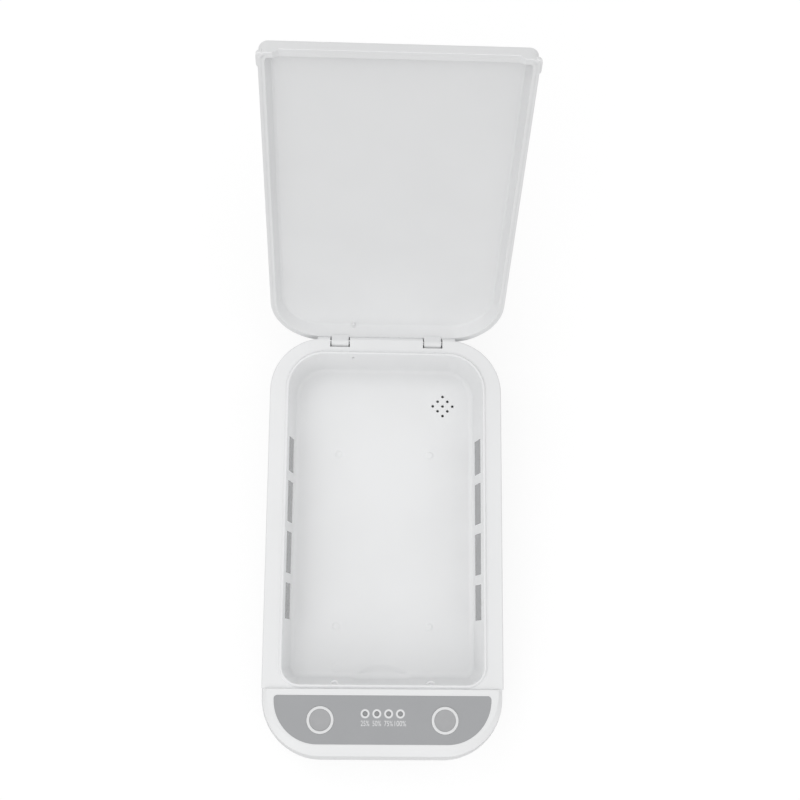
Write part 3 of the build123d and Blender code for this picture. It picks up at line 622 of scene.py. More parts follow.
def pressed_felt(name, base):
    """Absorbent pad: matted fibres in two scales."""
    bench = Bench(name)
    fibre = bench.noise(0.25, 6.0, 0.8)
    return bench.set(
        Base_Color=bench.tones(fibre, base, 0.72, 1.0),
        Roughness=0.93,
        Sheen_Weight=0.25,
        Normal=bench.bump(fibre + bench.noise(1.6, 4.0) * 2.0, 0.12, 0.8),
    )


def quartz(name, base):
    """Clear lamp tube with a faint bluish body and a haze inside."""
    bench = Bench(name)
    haze = bench.noise(6.0, 4.0)
    return bench.set(
        Base_Color=bench.tones(haze.above(0.5, 0.3), base, 1.0, 0.94),
        Roughness=0.06 + haze * 0.06,
        Alpha=0.9,
        Coat_Weight=1.0,
        IOR=1.46,
    )


def glow_die(name, base):
    """Body of a light-emitting diode: a pale package with yellow phosphor spots."""
    bench = Bench(name)
    spots = bench.noise(0.3)
    return bench.set(
        Base_Color=bench.mix(spots.above(0.5, 0.1), base, (0.86, 0.74, 0.28)),
        Roughness=0.3 + (spots - 0.5) * 0.1,
    )


def make_finishes(colours):
    """Every material, by the record's slot."""
    rows = (
        ("white_casing", moulded_white, tuple(colours.casing), 0.40, 0.28),
        ("white_lining", moulded_white, tuple(colours.lining), 0.33, 0.22),
        ("grey_overlay", printed_film, tuple(colours.overlay)),
        ("button_ring", moulded_white, tuple(colours.ring), 0.26, 0.20),
        ("button_disc", satin_disc, tuple(colours.disc)),
        ("light_pipe", milky_acrylic, (0.275, 0.28, 0.285)),
        ("led", glow_die, (0.82, 0.82, 0.78)),
        ("circuit_board", solder_mask, (0.02, 0.13, 0.05)),
        ("black_plastic", dark_resin, (0.025, 0.025, 0.028)),
        ("lamp_glass", quartz, (0.80, 0.83, 0.86)),
        ("silicone", soft_rubber, (0.62, 0.62, 0.61)),
        ("reflector", bare_metal, (0.86, 0.87, 0.88), 0.42, 0.12),
        ("steel", bare_metal, (0.48, 0.48, 0.49), 0.34),
        ("felt", pressed_felt, (0.16, 0.16, 0.155)),
        ("aluminium_plate", bare_metal, (0.68, 0.68, 0.69), 0.30),
        ("ferrite", dark_resin, (0.05, 0.05, 0.055), 0.62),
        ("nickel_shell", bare_metal, (0.66, 0.655, 0.64), 0.2, 0.1),
        ("magnet", bare_metal, (0.6, 0.6, 0.61), 0.22, 0.1),
        ("rubber_foot", soft_rubber, (0.16, 0.16, 0.165)),
    )
    return {name: maker(name, *values) for name, maker, *values in rows}


FINISHES = {}


def finish_of(slot_name):
    """The material of a slot, made with all the others the first time one is asked for."""
    if not FINISHES:
        FINISHES.update(make_finishes(bpy.context.scene.sanitizer_finishes))
    return FINISHES[slot_name]


SLOT_OF = {row["node"]: row["material_slot"] for row in frame["record"]["subparts"]}


def place_piece(piece, body, slot_name, *nodes):
    """Gives a new piece the finish of its slot and its body, and hides the CAD nodes that it stands
    for.
    """
    piece.data.materials.clear()
    piece.data.materials.append(finish_of(slot_name))
    even = piece.modifiers.new("even_shading", "WEIGHTED_NORMAL")
    even.keep_sharp = True
    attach(piece, body)
    if nodes:
        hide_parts(*nodes)


def smoothed(node):
    """A welded copy of a CAD node's mesh, shaded smooth between its edges, stands for the node."""
    source = frame["nodes"][node]
    points = np.empty(len(source.data.vertices) * 3)
    source.data.vertices.foreach_get("co", points)
    corners = np.empty(len(source.data.loops), int)
    source.data.loops.foreach_get("vertex_index", corners)
    skin = Skin()
    skin.add(points, corners.reshape(-1, 3))
    piece = skin.make(node + "_surface", turn_out=False)
    place_piece(piece, source["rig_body"], SLOT_OF[node], node)


# ------------------------------------------------------------------ casing

HALF = COVER_HIGH.x
FRONT = COVER_LOW.y
BACK = COVER_HIGH.y
UNDERSIDE = COVER_LOW.z
OVERLAY_TOP = OVERLAY_HIGH.z
GROOVE = 0.02 * MM
DECK_MARGIN = 4.0 * MM
MOUTH_MARGIN = 1.2 * MM
PANEL_EDGE = 0.35 * MM
POCKET_GAP = 0.03 * MM
POCKET_DEPTH = 0.5 * MM
POCKET_LEDGE = 2.0 * MM
HINGE_LINE, HINGE_HEIGHT = HINGE["pos_m"][1], HINGE["pos_m"][2]
RIM_LEVEL = 3.3 * MM
NOTCH_HALF = 5.1 * MM
NOTCH_REACH = 2.65 * MM
NOTCH_DROP = 3.2 * MM
NOTCH_SPARE = 3.0 * MM
RIB_END = 36.0 * MM
RIB_GAP = 0.06 * MM
RIB_BURIED = 0.6 * MM
RIB_STEPS = 25
EAR_WIDTH = 5.0 * MM
EAR_REACH = 3.1 * MM
EAR_DEPTH = 7.0 * MM
SCREW_INSET = 5.5 * MM
SCREW_HEAD = 2.45 * MM
SCREW_RECESS = 1.8 * MM
FOOT_NAMES = ("front_left", "front_right", "back_left", "back_right")
FOOT_GAP = 0.15 * MM
INLET_GAP = 0.25 * MM
INLET_RADIUS = 1.1 * MM


def middle_of(node):
    """Middle of a node's box."""
    low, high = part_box(node)
    return (low + high) / 2


def side_name(side):
    """Name of a side: -1 is the left and 1 the right."""
    return "left" if side < 0 else "right"


def deck_level(casing):
    """Height of the deck, one panel rise under the overlay."""
    return OVERLAY_TOP - casing.panel_rise


def casing_loop(casing, inset, height):
    """Loop round the whole casing, drawn in by an even margin."""
    loop = outline(
        HALF - inset, FRONT + inset, BACK - inset,
        casing.front_radius - inset, casing.back_radius - inset,
    )
    return at_height(loop, height)


def rear_loop(casing, inset, height):
    """Loop round the casing behind the seam: its front is straight, with square corners."""
    loop = outline(HALF - inset, casing.panel_seam, BACK - inset, 0.0, casing.back_radius - inset)
    return at_height(loop, height)


def panel_loop(casing, share, height, inset=0.0, back_inset=0.0):
    """Loop round the panel, where its rounded edge has run in by this share of its full run."""
    side = casing.panel_side * share + inset
    front = casing.panel_front * share + inset
    radius = casing.front_radius - (side + front) / 2
    loop = outline(HALF - side, FRONT + front, casing.panel_seam - back_inset, radius, 0.0)
    return at_height(loop, height)


def mouth_loop(tray, grow, height):
    """Loop round the chamber's mouth, grown by an even margin."""
    loop = outline(
        tray.half_width + grow, tray.front - grow, tray.back + grow,
        tray.front_radius + grow, tray.back_radius + grow,
    )
    return at_height(loop, height)


def overlay_loop(casing, grow, height):
    """Loop round the overlay, grown by an even margin."""
    loop = outline(
        OVERLAY_HIGH.x + grow, OVERLAY_LOW.y - grow, OVERLAY_HIGH.y + grow,
        casing.overlay_front_radius + grow, casing.overlay_back_radius + grow,
    )
    return at_height(loop, height)


def hinge_offset():
    """Distance of a hinge pin's middle from the centre line."""
    return middle_of("hinge_pin_right").x


def notch(casing, x):
    """Cutter for a hinge notch, open at the back and above."""
    low = (x - NOTCH_HALF, HINGE_LINE - NOTCH_REACH, HINGE_HEIGHT - NOTCH_DROP)
    return block(low, (x + NOTCH_HALF, BACK + NOTCH_SPARE, deck_level(casing) + 2 * MM))


def corner_places(casing, distance):
    """Points on the diagonals of the casing's corners, this far in from its face."""
    ends = (
        (casing.front_radius, FRONT + casing.front_radius, -1),
        (casing.back_radius, BACK - casing.back_radius, 1),
    )
    diagonal = np.sqrt(0.5)
    return [
        (
            side * (HALF - radius + (radius - distance) * diagonal),
            middle + way * (radius - distance) * diagonal,
        )
        for radius, middle, way in ends
        for side in (-1, 1)
    ]


def make_deck(casing, tray):
    """Deck and side walls behind the seam: a profile carried round the outline and the mouth."""
    deck = deck_level(casing)
    under = deck - casing.wall
    outer = rounded(
        (casing.parting_bevel, casing.parting),
        (0.0, casing.parting + casing.parting_bevel),
        (0.0, deck, casing.deck_edge),
        (DECK_MARGIN, deck),
    )
    gap = tray.wall + GROOVE
    mouth = ((gap + MOUTH_MARGIN, deck), (gap, deck), (gap, under))
    rows = [rear_loop(casing, inset, height) for inset, height in outer]
    rows += [mouth_loop(tray, grow, height) for grow, height in mouth]
    rows += [rear_loop(casing, casing.wall, height) for height in (under, casing.parting)]
    skin = Skin()
    skin.grid(rows, closed=True)
    piece = skin.make("top_housing_shell")
    for side in (-1, 1):
        carve(piece, notch(casing, side * hinge_offset()))
    place_piece(piece, "base", "white_casing", "top_housing")


def make_panel_frame(casing):
    """Panel in front of the seam: a profile carried round its outline and the overlay's pocket."""
    top, run, wall = OVERLAY_TOP, casing.panel_front, casing.wall
    parting, round_foot = casing.parting, OVERLAY_TOP - casing.panel_round
    shoulder = rounded(
        (0.0, round_foot - 3 * MM),
        (0.0, round_foot, 2 * MM),
        (casing.panel_crease, top - casing.panel_slope, 0.3 * MM),
        (run - 0.3 * MM, top, 2 * MM),
        (run, top),
    )
    rows = [
        panel_loop(casing, 0.0, parting, casing.parting_bevel),
        panel_loop(casing, 0.0, parting + casing.parting_bevel),
    ]
    for inset, height in shoulder:
        rounding = min(PANEL_EDGE, max(0.0, height - (top - PANEL_EDGE)))
        back_inset = PANEL_EDGE - np.sqrt(PANEL_EDGE**2 - rounding**2)
        rows.append(panel_loop(casing, inset / run, height, back_inset=back_inset))
    bottom = top - POCKET_DEPTH
    pocket = rounded(
        (0.25 * MM, top), (POCKET_GAP, top, 2 * POCKET_GAP), (POCKET_GAP, bottom), steps=3
    )
    rows += [overlay_loop(casing, grow, height) for grow, height in pocket]
    rows += [overlay_loop(casing, -POCKET_LEDGE, height) for height in (bottom, top - wall)]
    rows += [
        panel_loop(casing, 1.0, top - wall, wall),
        panel_loop(casing, 0.0, round_foot - wall, wall),
        panel_loop(casing, 0.0, parting, wall),
    ]
    skin = Skin()
    skin.grid(rows, closed=True)
    place_piece(skin.make("panel_frame"), "base", "white_casing")


def make_hinge_ear(casing, side):
    """Block under the deck that holds a hinge pin, with the same notch as the deck over it."""
    x = side * hinge_offset()
    deck = deck_level(casing)
    half = NOTCH_HALF + EAR_WIDTH
    low = (x - half, HINGE_LINE - EAR_REACH, deck - EAR_DEPTH)
    piece = block(low, (x + half, BACK - casing.wall / 2, deck - casing.wall / 2))
    piece.name = "hinge_ear_" + side_name(side)
    carve(piece, notch(casing, x))
    place_piece(piece, "base", "white_casing")


def make_hinge_ribs():
    """Half-round ribs along the back edge, about the hinge line: the lid's rim swings just clear.

    y = axis + r sin a, z = axis + r cos a, where r is a little less than the rim's distance.
    """
    radius = RIM_LEVEL - RIB_GAP
    start = np.arcsin((BACK - RIB_BURIED - HINGE_LINE) / radius)
    turn = np.linspace(start, np.pi - start, RIB_STEPS)
    y, z = HINGE_LINE + radius * np.sin(turn), HINGE_HEIGHT + radius * np.cos(turn)
    near, far = hinge_offset() - NOTCH_HALF, hinge_offset() + NOTCH_HALF
    skin = Skin()
    for ends in ((-RIB_END, -far), (-near, near), (far, RIB_END)):
        skin.tube([np.column_stack((np.full(RIB_STEPS, x), y, z)) for x in ends], reverse=True)
    place_piece(skin.make("hinge_ribs"), "base", "white_casing")


def make_bottom_cover(casing):
    """Pan with a rounded underside: a profile carried round the casing, closed by its floors."""
    low, wall, parting = UNDERSIDE, casing.wall, casing.parting
    outer = rounded(
        (casing.underside_edge + 2 * MM, low),
        (0.0, low, casing.underside_edge),
        (0.0, parting - casing.parting_bevel),
        (casing.parting_bevel, parting),
        (wall, parting),
        (wall, low + wall, 1.5 * MM),
        (casing.underside_edge + 4 * MM, low + wall),
        steps=8,
    )
    piece = tube("bottom_cover_pan", [casing_loop(casing, *place) for place in outer])
    feet = ["foot_" + name for name in FOOT_NAMES]
    start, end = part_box(feet[0])
    hole = (end.x - start.x) / 2 + FOOT_GAP
    carve(piece, discs([middle_of(foot) for foot in feet], hole, low - MM, end.z))
    heads = corner_places(casing, SCREW_INSET)
    carve(piece, discs(heads, SCREW_HEAD, low - MM, low + SCREW_RECESS))
    carve(piece, inlet_slot())
    place_piece(piece, "base", "white_casing", "bottom_cover")


def inlet_slot():
    """Cutter for the power inlet's mouth: a rounded rectangle drawn along Y."""
    low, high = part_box("power_inlet")
    middle = middle_of("power_inlet")
    half, rise = (high.x - low.x) / 2 + INLET_GAP, (high.z - low.z) / 2 + INLET_GAP
    loop = outline(half, -rise, rise, INLET_RADIUS, INLET_RADIUS)
    loop += middle.x, middle.z
    return tube("cutter", [at_y(loop, high.y + y) for y in (2 * MM, -4 * MM)], reverse=True)


# ------------------------------------------------------------------ chamber tray

BUMP_HALF = 24.0 * MM
BUMP_RADIUS = 1.7 * MM
BUMP_SLOPE = 0.8 * MM
BUMP_HEIGHT = 0.5 * MM
BUMP_INSETS = (49.4 * MM, 28.8 * MM)
SCOOP_RADIUS = 22.0 * MM
SCOOP_REACH = 12.3 * MM
SCOOP_DEPTH = 0.8 * MM
SCOOP_HALF = 16.2 * MM
SCOOP_EDGE = 1.4 * MM
SCOOP_SLOPE = 3.6 * MM
WINDOW_LENGTHS = (18.0 * MM, 21.1 * MM, 21.1 * MM, 18.0 * MM)
WINDOW_SHIFT = 5.35 * MM
FLANGE = 1.3 * MM
FLANGE_THICKNESS = 1.5 * MM
AROMA_PLACE = middle_of("aroma_cup")
SENSOR_X = middle_of("lid_sensor").x
SENSOR_DROP = 4.5 * MM
SENSOR_HOLE = 0.8 * MM
SCREWS_LOW, SCREWS_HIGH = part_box("tray_screws")
PLUG_RADIUS = 2.3 * MM
PLUG_HEIGHT = 0.12 * MM
LUG_PLACE = 23.9 * MM
LUG_RADIUS = 2.3 * MM
PANE_DEPTH = 0.15 * MM
PANE_THICKNESS = 0.6 * MM
ROW_PITCH = 3.4 * MM
LEAST_PITCH = 0.08 * MM
FINE_BAND = (2.2 * MM, 0.4 * MM)
SCOOP_BAND = (19.0 * MM, 0.8 * MM)
END_BAND = (0.01 * MM, 0.02 * MM)


def step(values, edge, softness):
    """Smooth step from 0 to 1 across an edge: 3 t^2 - 2 t^3."""
    share = np.clip((values - edge) / softness + 0.5, 0.0, 1.0)
    return share * share * (3 - 2 * share)


def bands(low, high, *places):
    """Places from low to high at an even pitch, with finer ones in (centre, reach, pitch) bands."""
    line = [np.linspace(low, high, int((high - low) / ROW_PITCH) + 2)]
    line += [np.arange(centre - reach, centre + reach, fine) for centre, reach, fine in places]
    line = np.sort(np.concatenate(line))
    line = line[(line > low) & (line < high)]
    line = line[np.insert(np.diff(line) > LEAST_PITCH, 0, True)]
    return np.concatenate(([low], line, [high]))


def window_spans(tray):
    """Start and end of each window along Y."""
    row = sum(WINDOW_LENGTHS) + tray.window_rib * (len(WINDOW_LENGTHS) - 1)
    start = (tray.front + tray.back) / 2 - WINDOW_SHIFT - row / 2
    spans = []
    for size in WINDOW_LENGTHS:
        spans.append((start, start + size))
        start += size + tray.window_rib
    return spans


def aroma_holes(tray):
    """Nine holes: a square lattice standing on its corner."""
    steps = np.array([-1, 0, 1]) * tray.hole_pitch * np.sqrt(0.5)
    return [(AROMA_PLACE.x + a - b, AROMA_PLACE.y + a + b) for a in steps for b in steps]


def well_places():
    """Middles of the two tray screws."""
    radius = (SCREWS_HIGH.y - SCREWS_LOW.y) / 2
    middle = (SCREWS_HIGH.y + SCREWS_LOW.y) / 2
    return [(SCREWS_LOW.x + radius, middle), (SCREWS_HIGH.x - radius, middle)]


class TrayForm:
    """The tray's levels, and the outline of its floor, drawn in by the lean of the walls."""

    def __init__(self, tray, casing):
        self.tray, self.casing = tray, casing
        self.deck = deck_level(casing)
        self.underside = TRAY_LOW.z
        self.floor = self.underside + tray.wall
        self.lean = np.tan(tray.taper)
        self.tangent = tray.floor_radius * np.tan((np.pi / 2 - tray.taper) / 2)
        self.inset = (self.deck - self.floor) * self.lean + self.tangent
        self.half = tray.half_width - self.inset
        self.front, self.back = tray.front + self.inset, tray.back - self.inset
        self.front_radius = tray.front_radius - self.inset
        self.back_radius = tray.back_radius - self.inset
        self.sill = self.floor + tray.window_sill
        self.head = self.deck - tray.window_head
        self.spans = window_spans(tray)
        self.bumps = [
            (side * BUMP_HALF, y)
            for y in (tray.back - BUMP_INSETS[0], tray.front + BUMP_INSETS[1])
            for side in (-1, 1)
        ]

    def offset_at(self, level):
        """How far the wall's face stands out from the floor's edge, at a level."""
        return self.inset - (self.deck - level) * self.lean

    def rows(self):
        """Y of the floor's rows: finer in the corners, at the bumps, the dish and window ends."""
        turn = np.linspace(0.0, np.pi / 2, 13)
        front_rows = self.front + self.front_radius * (1 - np.cos(turn))
        back_rows = self.back - self.back_radius * (1 - np.cos(turn[::-1]))
        ends = np.array(self.spans).ravel()
        between = bands(
            front_rows[-1], back_rows[0],
            *[(self.bumps[row][1], *FINE_BAND) for row in (0, 2)],
            *[(end, *END_BAND) for end in ends],
        )
        between[np.abs(between[:, None] - ends).argmin(0)] = ends
        near_dish = np.arange(self.front + 0.2 * MM, self.front + 11 * MM, 0.35 * MM)
        return np.unique(np.concatenate((front_rows, between, back_rows, near_dish)))

    def columns(self):
        """Places across the floor, as shares of half its width."""
        places = ((-BUMP_HALF, *FINE_BAND), (BUMP_HALF, *FINE_BAND), (0.0, *SCOOP_BAND))
        return bands(-self.half, self.half, *places) / self.half

    def right_end(self, ys):
        """Each row's end on the right: its x, and the outward normal (sin a, -cos a or cos a).

        In a corner x is half - r (1 - sin a), where the row's y is r (1 - cos a) from the end.
        """
        inside = (ys < self.front + self.front_radius, ys > self.back - self.back_radius)
        front_turn = np.arccos(np.clip(1 - (ys - self.front) / self.front_radius, 0, 1))
        back_turn = np.arccos(np.clip(1 - (self.back - ys) / self.back_radius, 0, 1))
        across = np.select(inside, (np.sin(front_turn), np.sin(back_turn)), 1.0)
        along = np.select(inside, (-np.cos(front_turn), np.cos(back_turn)), 0.0)
        radius = np.where(inside[0], self.front_radius, self.back_radius)
        return self.half - radius * (1 - across), np.column_stack((across, along))

    def level(self, x, y):
        """Height of the floor: four bumps, the fingertip dish and a flush plug over each screw."""
        height = np.full(x.shape, self.floor)
        for centre in self.bumps:
            away = np.hypot(x - centre[0], y - centre[1])
            height += BUMP_HEIGHT * (1 - step(away, BUMP_RADIUS, BUMP_SLOPE))
        away = np.hypot(x, y - (self.tray.front - SCOOP_REACH))
        height -= SCOOP_DEPTH * (1 - step(away, SCOOP_RADIUS - SCOOP_EDGE, SCOOP_SLOPE))
        for centre in well_places():
            away = np.hypot(x - centre[0], y - centre[1])
            plug = PLUG_HEIGHT * (1 - step(away, PLUG_RADIUS, 0.5 * MM))
            height += plug * step(y, self.front + 0.15 * MM, 0.3 * MM)
        return height


class TrayWall:
    """Loops up the tray's walls, each being edge + normal * offset at its own level.

    The floor's edge is a rectangle with rounded corners, so each of these loops is one too.
    """

    def __init__(self, form, floor):
        """Takes the edge of the floor's grid, anticlockwise from the front right."""
        self.form = form
        outward = form.right_end(floor[:, 0, 1])[1]
        across_back, across_front = floor[-1, ::-1][1:-1], floor[0, 1:-1]
        self.edge = np.vstack((floor[:, -1], across_back, floor[::-1, 0], across_front))
        self.normal = np.vstack(
            (
                outward,
                np.tile((0.0, 1.0), (len(across_back), 1)),
                (outward * (-1.0, 1.0))[::-1],
                np.tile((0.0, -1.0), (len(across_front), 1)),
            )
        )

    def ring(self, offset, level):
        """The floor's edge moved out by an offset, to a level."""
        return at_height(self.edge[:, :2] + self.normal * offset, level)

    def dished(self, offset, level, depth, way):
        """A ring pressed into the front wall by the dish, along the profile's normal (dz, -dr)."""
        loop = self.ring(offset, level)
        chord = np.sqrt(SCOOP_RADIUS**2 - (SCOOP_REACH + self.form.inset - offset) ** 2)
        half_width = min(SCOOP_HALF, chord)
        share = 1 - step(np.abs(loop[:, 0]), half_width - SCOOP_EDGE, SCOOP_SLOPE)
        share = np.where(self.normal[:, 1] < -0.99, share * depth, 0.0)
        loop[:, 1] -= share * way[1]
        loop[:, 2] -= share * way[0]
        return loop

    def rings(self):
        """All the loops: up the inside, over the bead and flange, and down the outside.

        Also the numbers of the loops at the windows' sill inside and at their head outside.
        """
        form, wall = self.form, self.form.tray.wall
        inset, deck, floor, offset_at = form.inset, form.deck, form.floor, form.offset_at
        inner = rounded(
            (0.0, floor), (form.tangent, floor, form.tray.floor_radius), (inset, deck), steps=9
        )
        slope = np.gradient(inner, axis=0)
        slope = slope / np.linalg.norm(slope, axis=1, keepdims=True)
        under_deck = deck - form.casing.wall
        flange_low = under_deck - FLANGE_THICKNESS
        bead = rounded(
            (inset, deck),
            (inset, TRAY_HIGH.z, form.tray.bead_edge),
            (inset + wall / 2, TRAY_HIGH.z, form.tray.bead_edge / 2),
            (inset + wall + GROOVE, deck - 0.01 * MM),
            (inset + wall, under_deck),
        )
        rings = [self.edge]
        rings += [
            self.dished(offset, level, SCOOP_DEPTH, way)
            for (offset, level), way in zip(inner[2:-1], slope[2:-1])
        ]
        low_row = len(rings)
        rings += [
            self.dished(offset_at(level), level, 0.5 * MM, (0.0, 1.0))
            for level in (form.sill, form.head)
        ]
        rings += [self.ring(offset, level) for offset, level in bead]
        rings += [self.ring(inset + wall + FLANGE, level) for level in (under_deck, flange_low)]
        rings.append(self.ring(offset_at(flange_low) + wall, flange_low))
        high_row = len(rings)
        rings += [
            self.ring(offset_at(level) + wall, level)
            for level in (form.head, form.sill, form.underside)
        ]
        rings.append(self.ring(0.0, form.underside))
        return np.array(rings), low_row, high_row

    def open_columns(self):
        """Mask of the columns of quads that a window takes."""
        y, upright = self.edge[:, 1], np.abs(self.normal[:, 0]) > 0.999
        middle = (y + np.roll(y, -1)) / 2
        taken = np.zeros(len(y), bool)
        for start, end in self.form.spans:
            taken |= (middle > start) & (middle < end)
        return taken & upright & np.roll(upright, -1)

    def add_to(self, skin):
        """Adds the walls with their windows left out, and the faces that line each window."""
        rings, low, high = self.rings()
        taken = self.open_columns()
        kept = np.ones((len(rings) - 1, len(taken)), bool)
        kept[low, taken] = False
        kept[high, taken] = False
        skin.grid(rings, keep=kept)
        near = np.flatnonzero(taken)
        far = (near + 1) % len(taken)
        posts = np.concatenate((near[~taken[(near - 1) % len(taken)]], far[~taken[far]]))
        for corners in (
            ((low, near), (low, far), (high + 1, far), (high + 1, near)),
            ((low + 1, near), (low + 1, far), (high, far), (high, near)),
            ((low, posts), (low + 1, posts), (high, posts), (high + 1, posts)),
        ):
            quads = np.stack([rings[row, column] for row, column in corners], axis=1)
            skin.add(quads, np.arange(4 * len(quads)).reshape(-1, 4))


def make_chamber_tray(tray, casing):
    """Tray: its floor is a height field, z = level(x, y), and its walls are loops round that."""
    form = TrayForm(tray, casing)
    ys = form.rows()
    x = form.columns()[None, :] * form.right_end(ys)[0][:, None]
    y = np.broadcast_to(ys[:, None], x.shape)
    floor = np.stack((x, y, form.level(x, y)), axis=-1)
    skin = Skin()
    skin.grid(floor, around=False)
    below = np.stack((x, y, np.full(x.shape, form.underside)), axis=-1)
    skin.grid(below[:, ::-1], around=False)
    TrayWall(form, floor).add_to(skin)
    make_panes(form)
    make_lugs(form)
    piece = skin.make("chamber_tray_liner")
    eye = circle(SENSOR_X, form.deck - SENSOR_DROP, SENSOR_HOLE, 24)
    carve(piece, tube("cutter", [at_y(eye, tray.back + y) for y in (4 * MM, -8 * MM)]))
    holes = aroma_holes(tray)
    carve(piece, discs(holes, tray.hole_radius, form.underside - MM, form.floor + MM, steps=32))
    place_piece(piece, "base", "white_lining", "chamber_tray")


def make_panes(form):
    """Dull panes in the windows, parallel to the leaning wall: x = wall at z + depth."""
    corners = [
        (
            side * (
                form.tray.half_width - (form.deck - level) * form.lean
                + PANE_DEPTH + thick * PANE_THICKNESS
            ),
            y,
            level,
        )
        for side in (-1, 1)
        for start, end in form.spans
        for thick in (0, 1)
        for level, y in (
            (form.sill, start), (form.sill, end), (form.head, end), (form.head, start)
        )
    ]
    faces = np.array(
        [(0, 1, 2, 3), (7, 6, 5, 4), (0, 4, 5, 1), (1, 5, 6, 2), (2, 6, 7, 3), (3, 7, 4, 0)]
    )
    first = 8 * np.arange(len(corners) // 8)
    skin = Skin()
    skin.add(corners, (faces[None] + first[:, None, None]).reshape(-1, 4))
    place_piece(skin.make("window_panes"), "base", "light_pipe")


def make_lugs(form):
    """Two half-round lugs sunk in the front wall: turned posts with a soft, dimpled top."""
    low, high = form.underside + form.tray.wall / 2, form.deck - 1.2 * MM
    dimple = high - 0.5 * MM
    profile = rounded(
        (LUG_RADIUS, low), (LUG_RADIUS, high, 0.3 * MM), (LUG_RADIUS * 0.62, high, 0.15 * MM),
        (LUG_RADIUS * 0.55, dimple, 0.1 * MM), (AXIS_RADIUS, dimple), steps=4,
    )
    skin = Skin()
    for side in (-1, 1):
        lathe(skin, (side * LUG_PLACE, form.tray.front - 0.3 * MM), profile, 48)
    place_piece(skin.make("front_wall_lugs", turn_out=False), "base", "white_lining")


# ------------------------------------------------------------------ lid

LID_STOP = np.radians(HINGE["range_deg"][1])
LID_ACROSS = np.array((1.0, 0.0, 0.0))
LID_BACKWARD = np.array((0.0, np.cos(LID_STOP), -np.sin(LID_STOP)))
LID_OUTWARD = np.array((0.0, np.sin(LID_STOP), np.cos(LID_STOP)))
LID_BACK = 1.5 * MM
LID_SEAM_GAP = 0.3 * MM
LID_BACK_RADIUS = 27.8 * MM
LID_FRONT_RADIUS = 4.2 * MM
LEAST_FRONT_RADIUS = 0.9 * MM
SHELL_INNER_RADIUS = 1.5 * MM
SHELL_FACE = 1.6 * MM
FACE_MARGIN = 3.0 * MM
RELIEF_LENGTH = 4.4 * MM
LINER_DEPTH = 6.6 * MM
LINER_GAP = 0.02 * MM
LINER_LIP_RADIUS = 1.4 * MM
LINER_FRONT_RADIUS = 1.6 * MM
LID_EAR_HALF = 1.8 * MM
LID_EAR_LENGTH = 7.6 * MM
LID_EAR_LOW = 0.3 * MM
LID_EAR_HIGH = 3.2 * MM
LID_EAR_PROUD = 0.8 * MM
LID_EAR_SOFT = 0.5 * MM
KNUCKLE_RADIUS = 2.58 * MM
KNUCKLE_WIDTH = 9.1 * MM
KNUCKLE_SOFT = 0.25 * MM
RIB_PLACE = 5.8 * MM
RIB_SIZE = (0.65 * MM, 1.5 * MM, 1.6 * MM)
RIB_SOFT = 0.25 * MM


def on_lid(points):
    """Points of the lid's own plane (across, to the hinge, outwards), where the open lid is."""
    points = np.asarray(points, float)
    across, back, out = points[..., :1], points[..., 1:2], points[..., 2:3]
    turned = across * LID_ACROSS + back * LID_BACKWARD + out * LID_OUTWARD
    return np.array(HINGE["pos_m"], float) + turned


class LidForm:
    """The lid's outline in its own plane, and the relief that lifts its rim in front."""

    def __init__(self, lid, casing):
        self.lid = lid
        self.half = HALF - lid.inset
        self.front = casing.panel_seam + LID_SEAM_GAP - HINGE_LINE

    def loop(self, inset, level, front_radius):
        """Loop round the lid, drawn in by a margin, with points where the relief begins."""
        foot = self.lid.relief_half + self.lid.relief_height
        marks = (-foot, -self.lid.relief_half, self.lid.relief_half, foot)
        loop = outline(
            self.half - inset, self.front + inset, LID_BACK - inset,
            front_radius, LID_BACK_RADIUS - inset, marks,
        )
        return at_height(loop, level)

    def lifted(self, inset, level, front_radius, lean=0.0):
        """That loop with its front lifted by the relief, sliding inwards with the wall's lean.

        The relief has a flat top, and its ends slope at 45 degrees.
        """
        loop = self.loop(inset, level, front_radius)
        height = self.lid.relief_height
        ramp = np.clip(self.lid.relief_half + height - np.abs(loop[:, 0]), 0, height)
        rise = np.where(loop[:, 1] < self.front + RELIEF_LENGTH, ramp, 0)
        loop[:, 2] += rise
        loop[:, 1] += rise * lean
        return loop


def make_lid_shell(form):
    """Outer shell: a profile carried round the lid, with the relief let into its rim."""
    lid = form.lid
    rim, top = RIM_LEVEL, RIM_LEVEL + lid.thickness
    lip = rounded((lid.wall, rim), (0.0, rim, 0.25 * MM), (0.0, rim + 2 * MM), steps=4)
    edge = rounded(
        (0.0, rim + 3 * MM), (0.0, top, lid.edge_radius), (lid.edge_radius + FACE_MARGIN, top),
        steps=12,
    )
    outside = [
        form.lifted(inset, level, max(LID_FRONT_RADIUS - inset, 0.6 * MM))
        for inset, level in lip[:-1]
    ]
    outside += [
        form.loop(inset, level, max(LID_FRONT_RADIUS - 0.6 * inset, LEAST_FRONT_RADIUS))
        for inset, level in edge
    ]
    under = top - SHELL_FACE
    inside = [
        form.loop(lid.edge_radius + FACE_MARGIN, under, LEAST_FRONT_RADIUS),
        form.loop(lid.wall, under, SHELL_INNER_RADIUS),
        form.lifted(lid.wall, rim, SHELL_INNER_RADIUS),
    ]
    outside, inside = on_lid(outside), on_lid(inside)
    skin = Skin()
    skin.grid(outside)
    skin.cap(outside[-1])
    skin.grid(inside)
    skin.cap(inside[0], flip=True)
    place_piece(skin.make("lid_outer_shell"), "lid", "white_casing", "lid_shell")


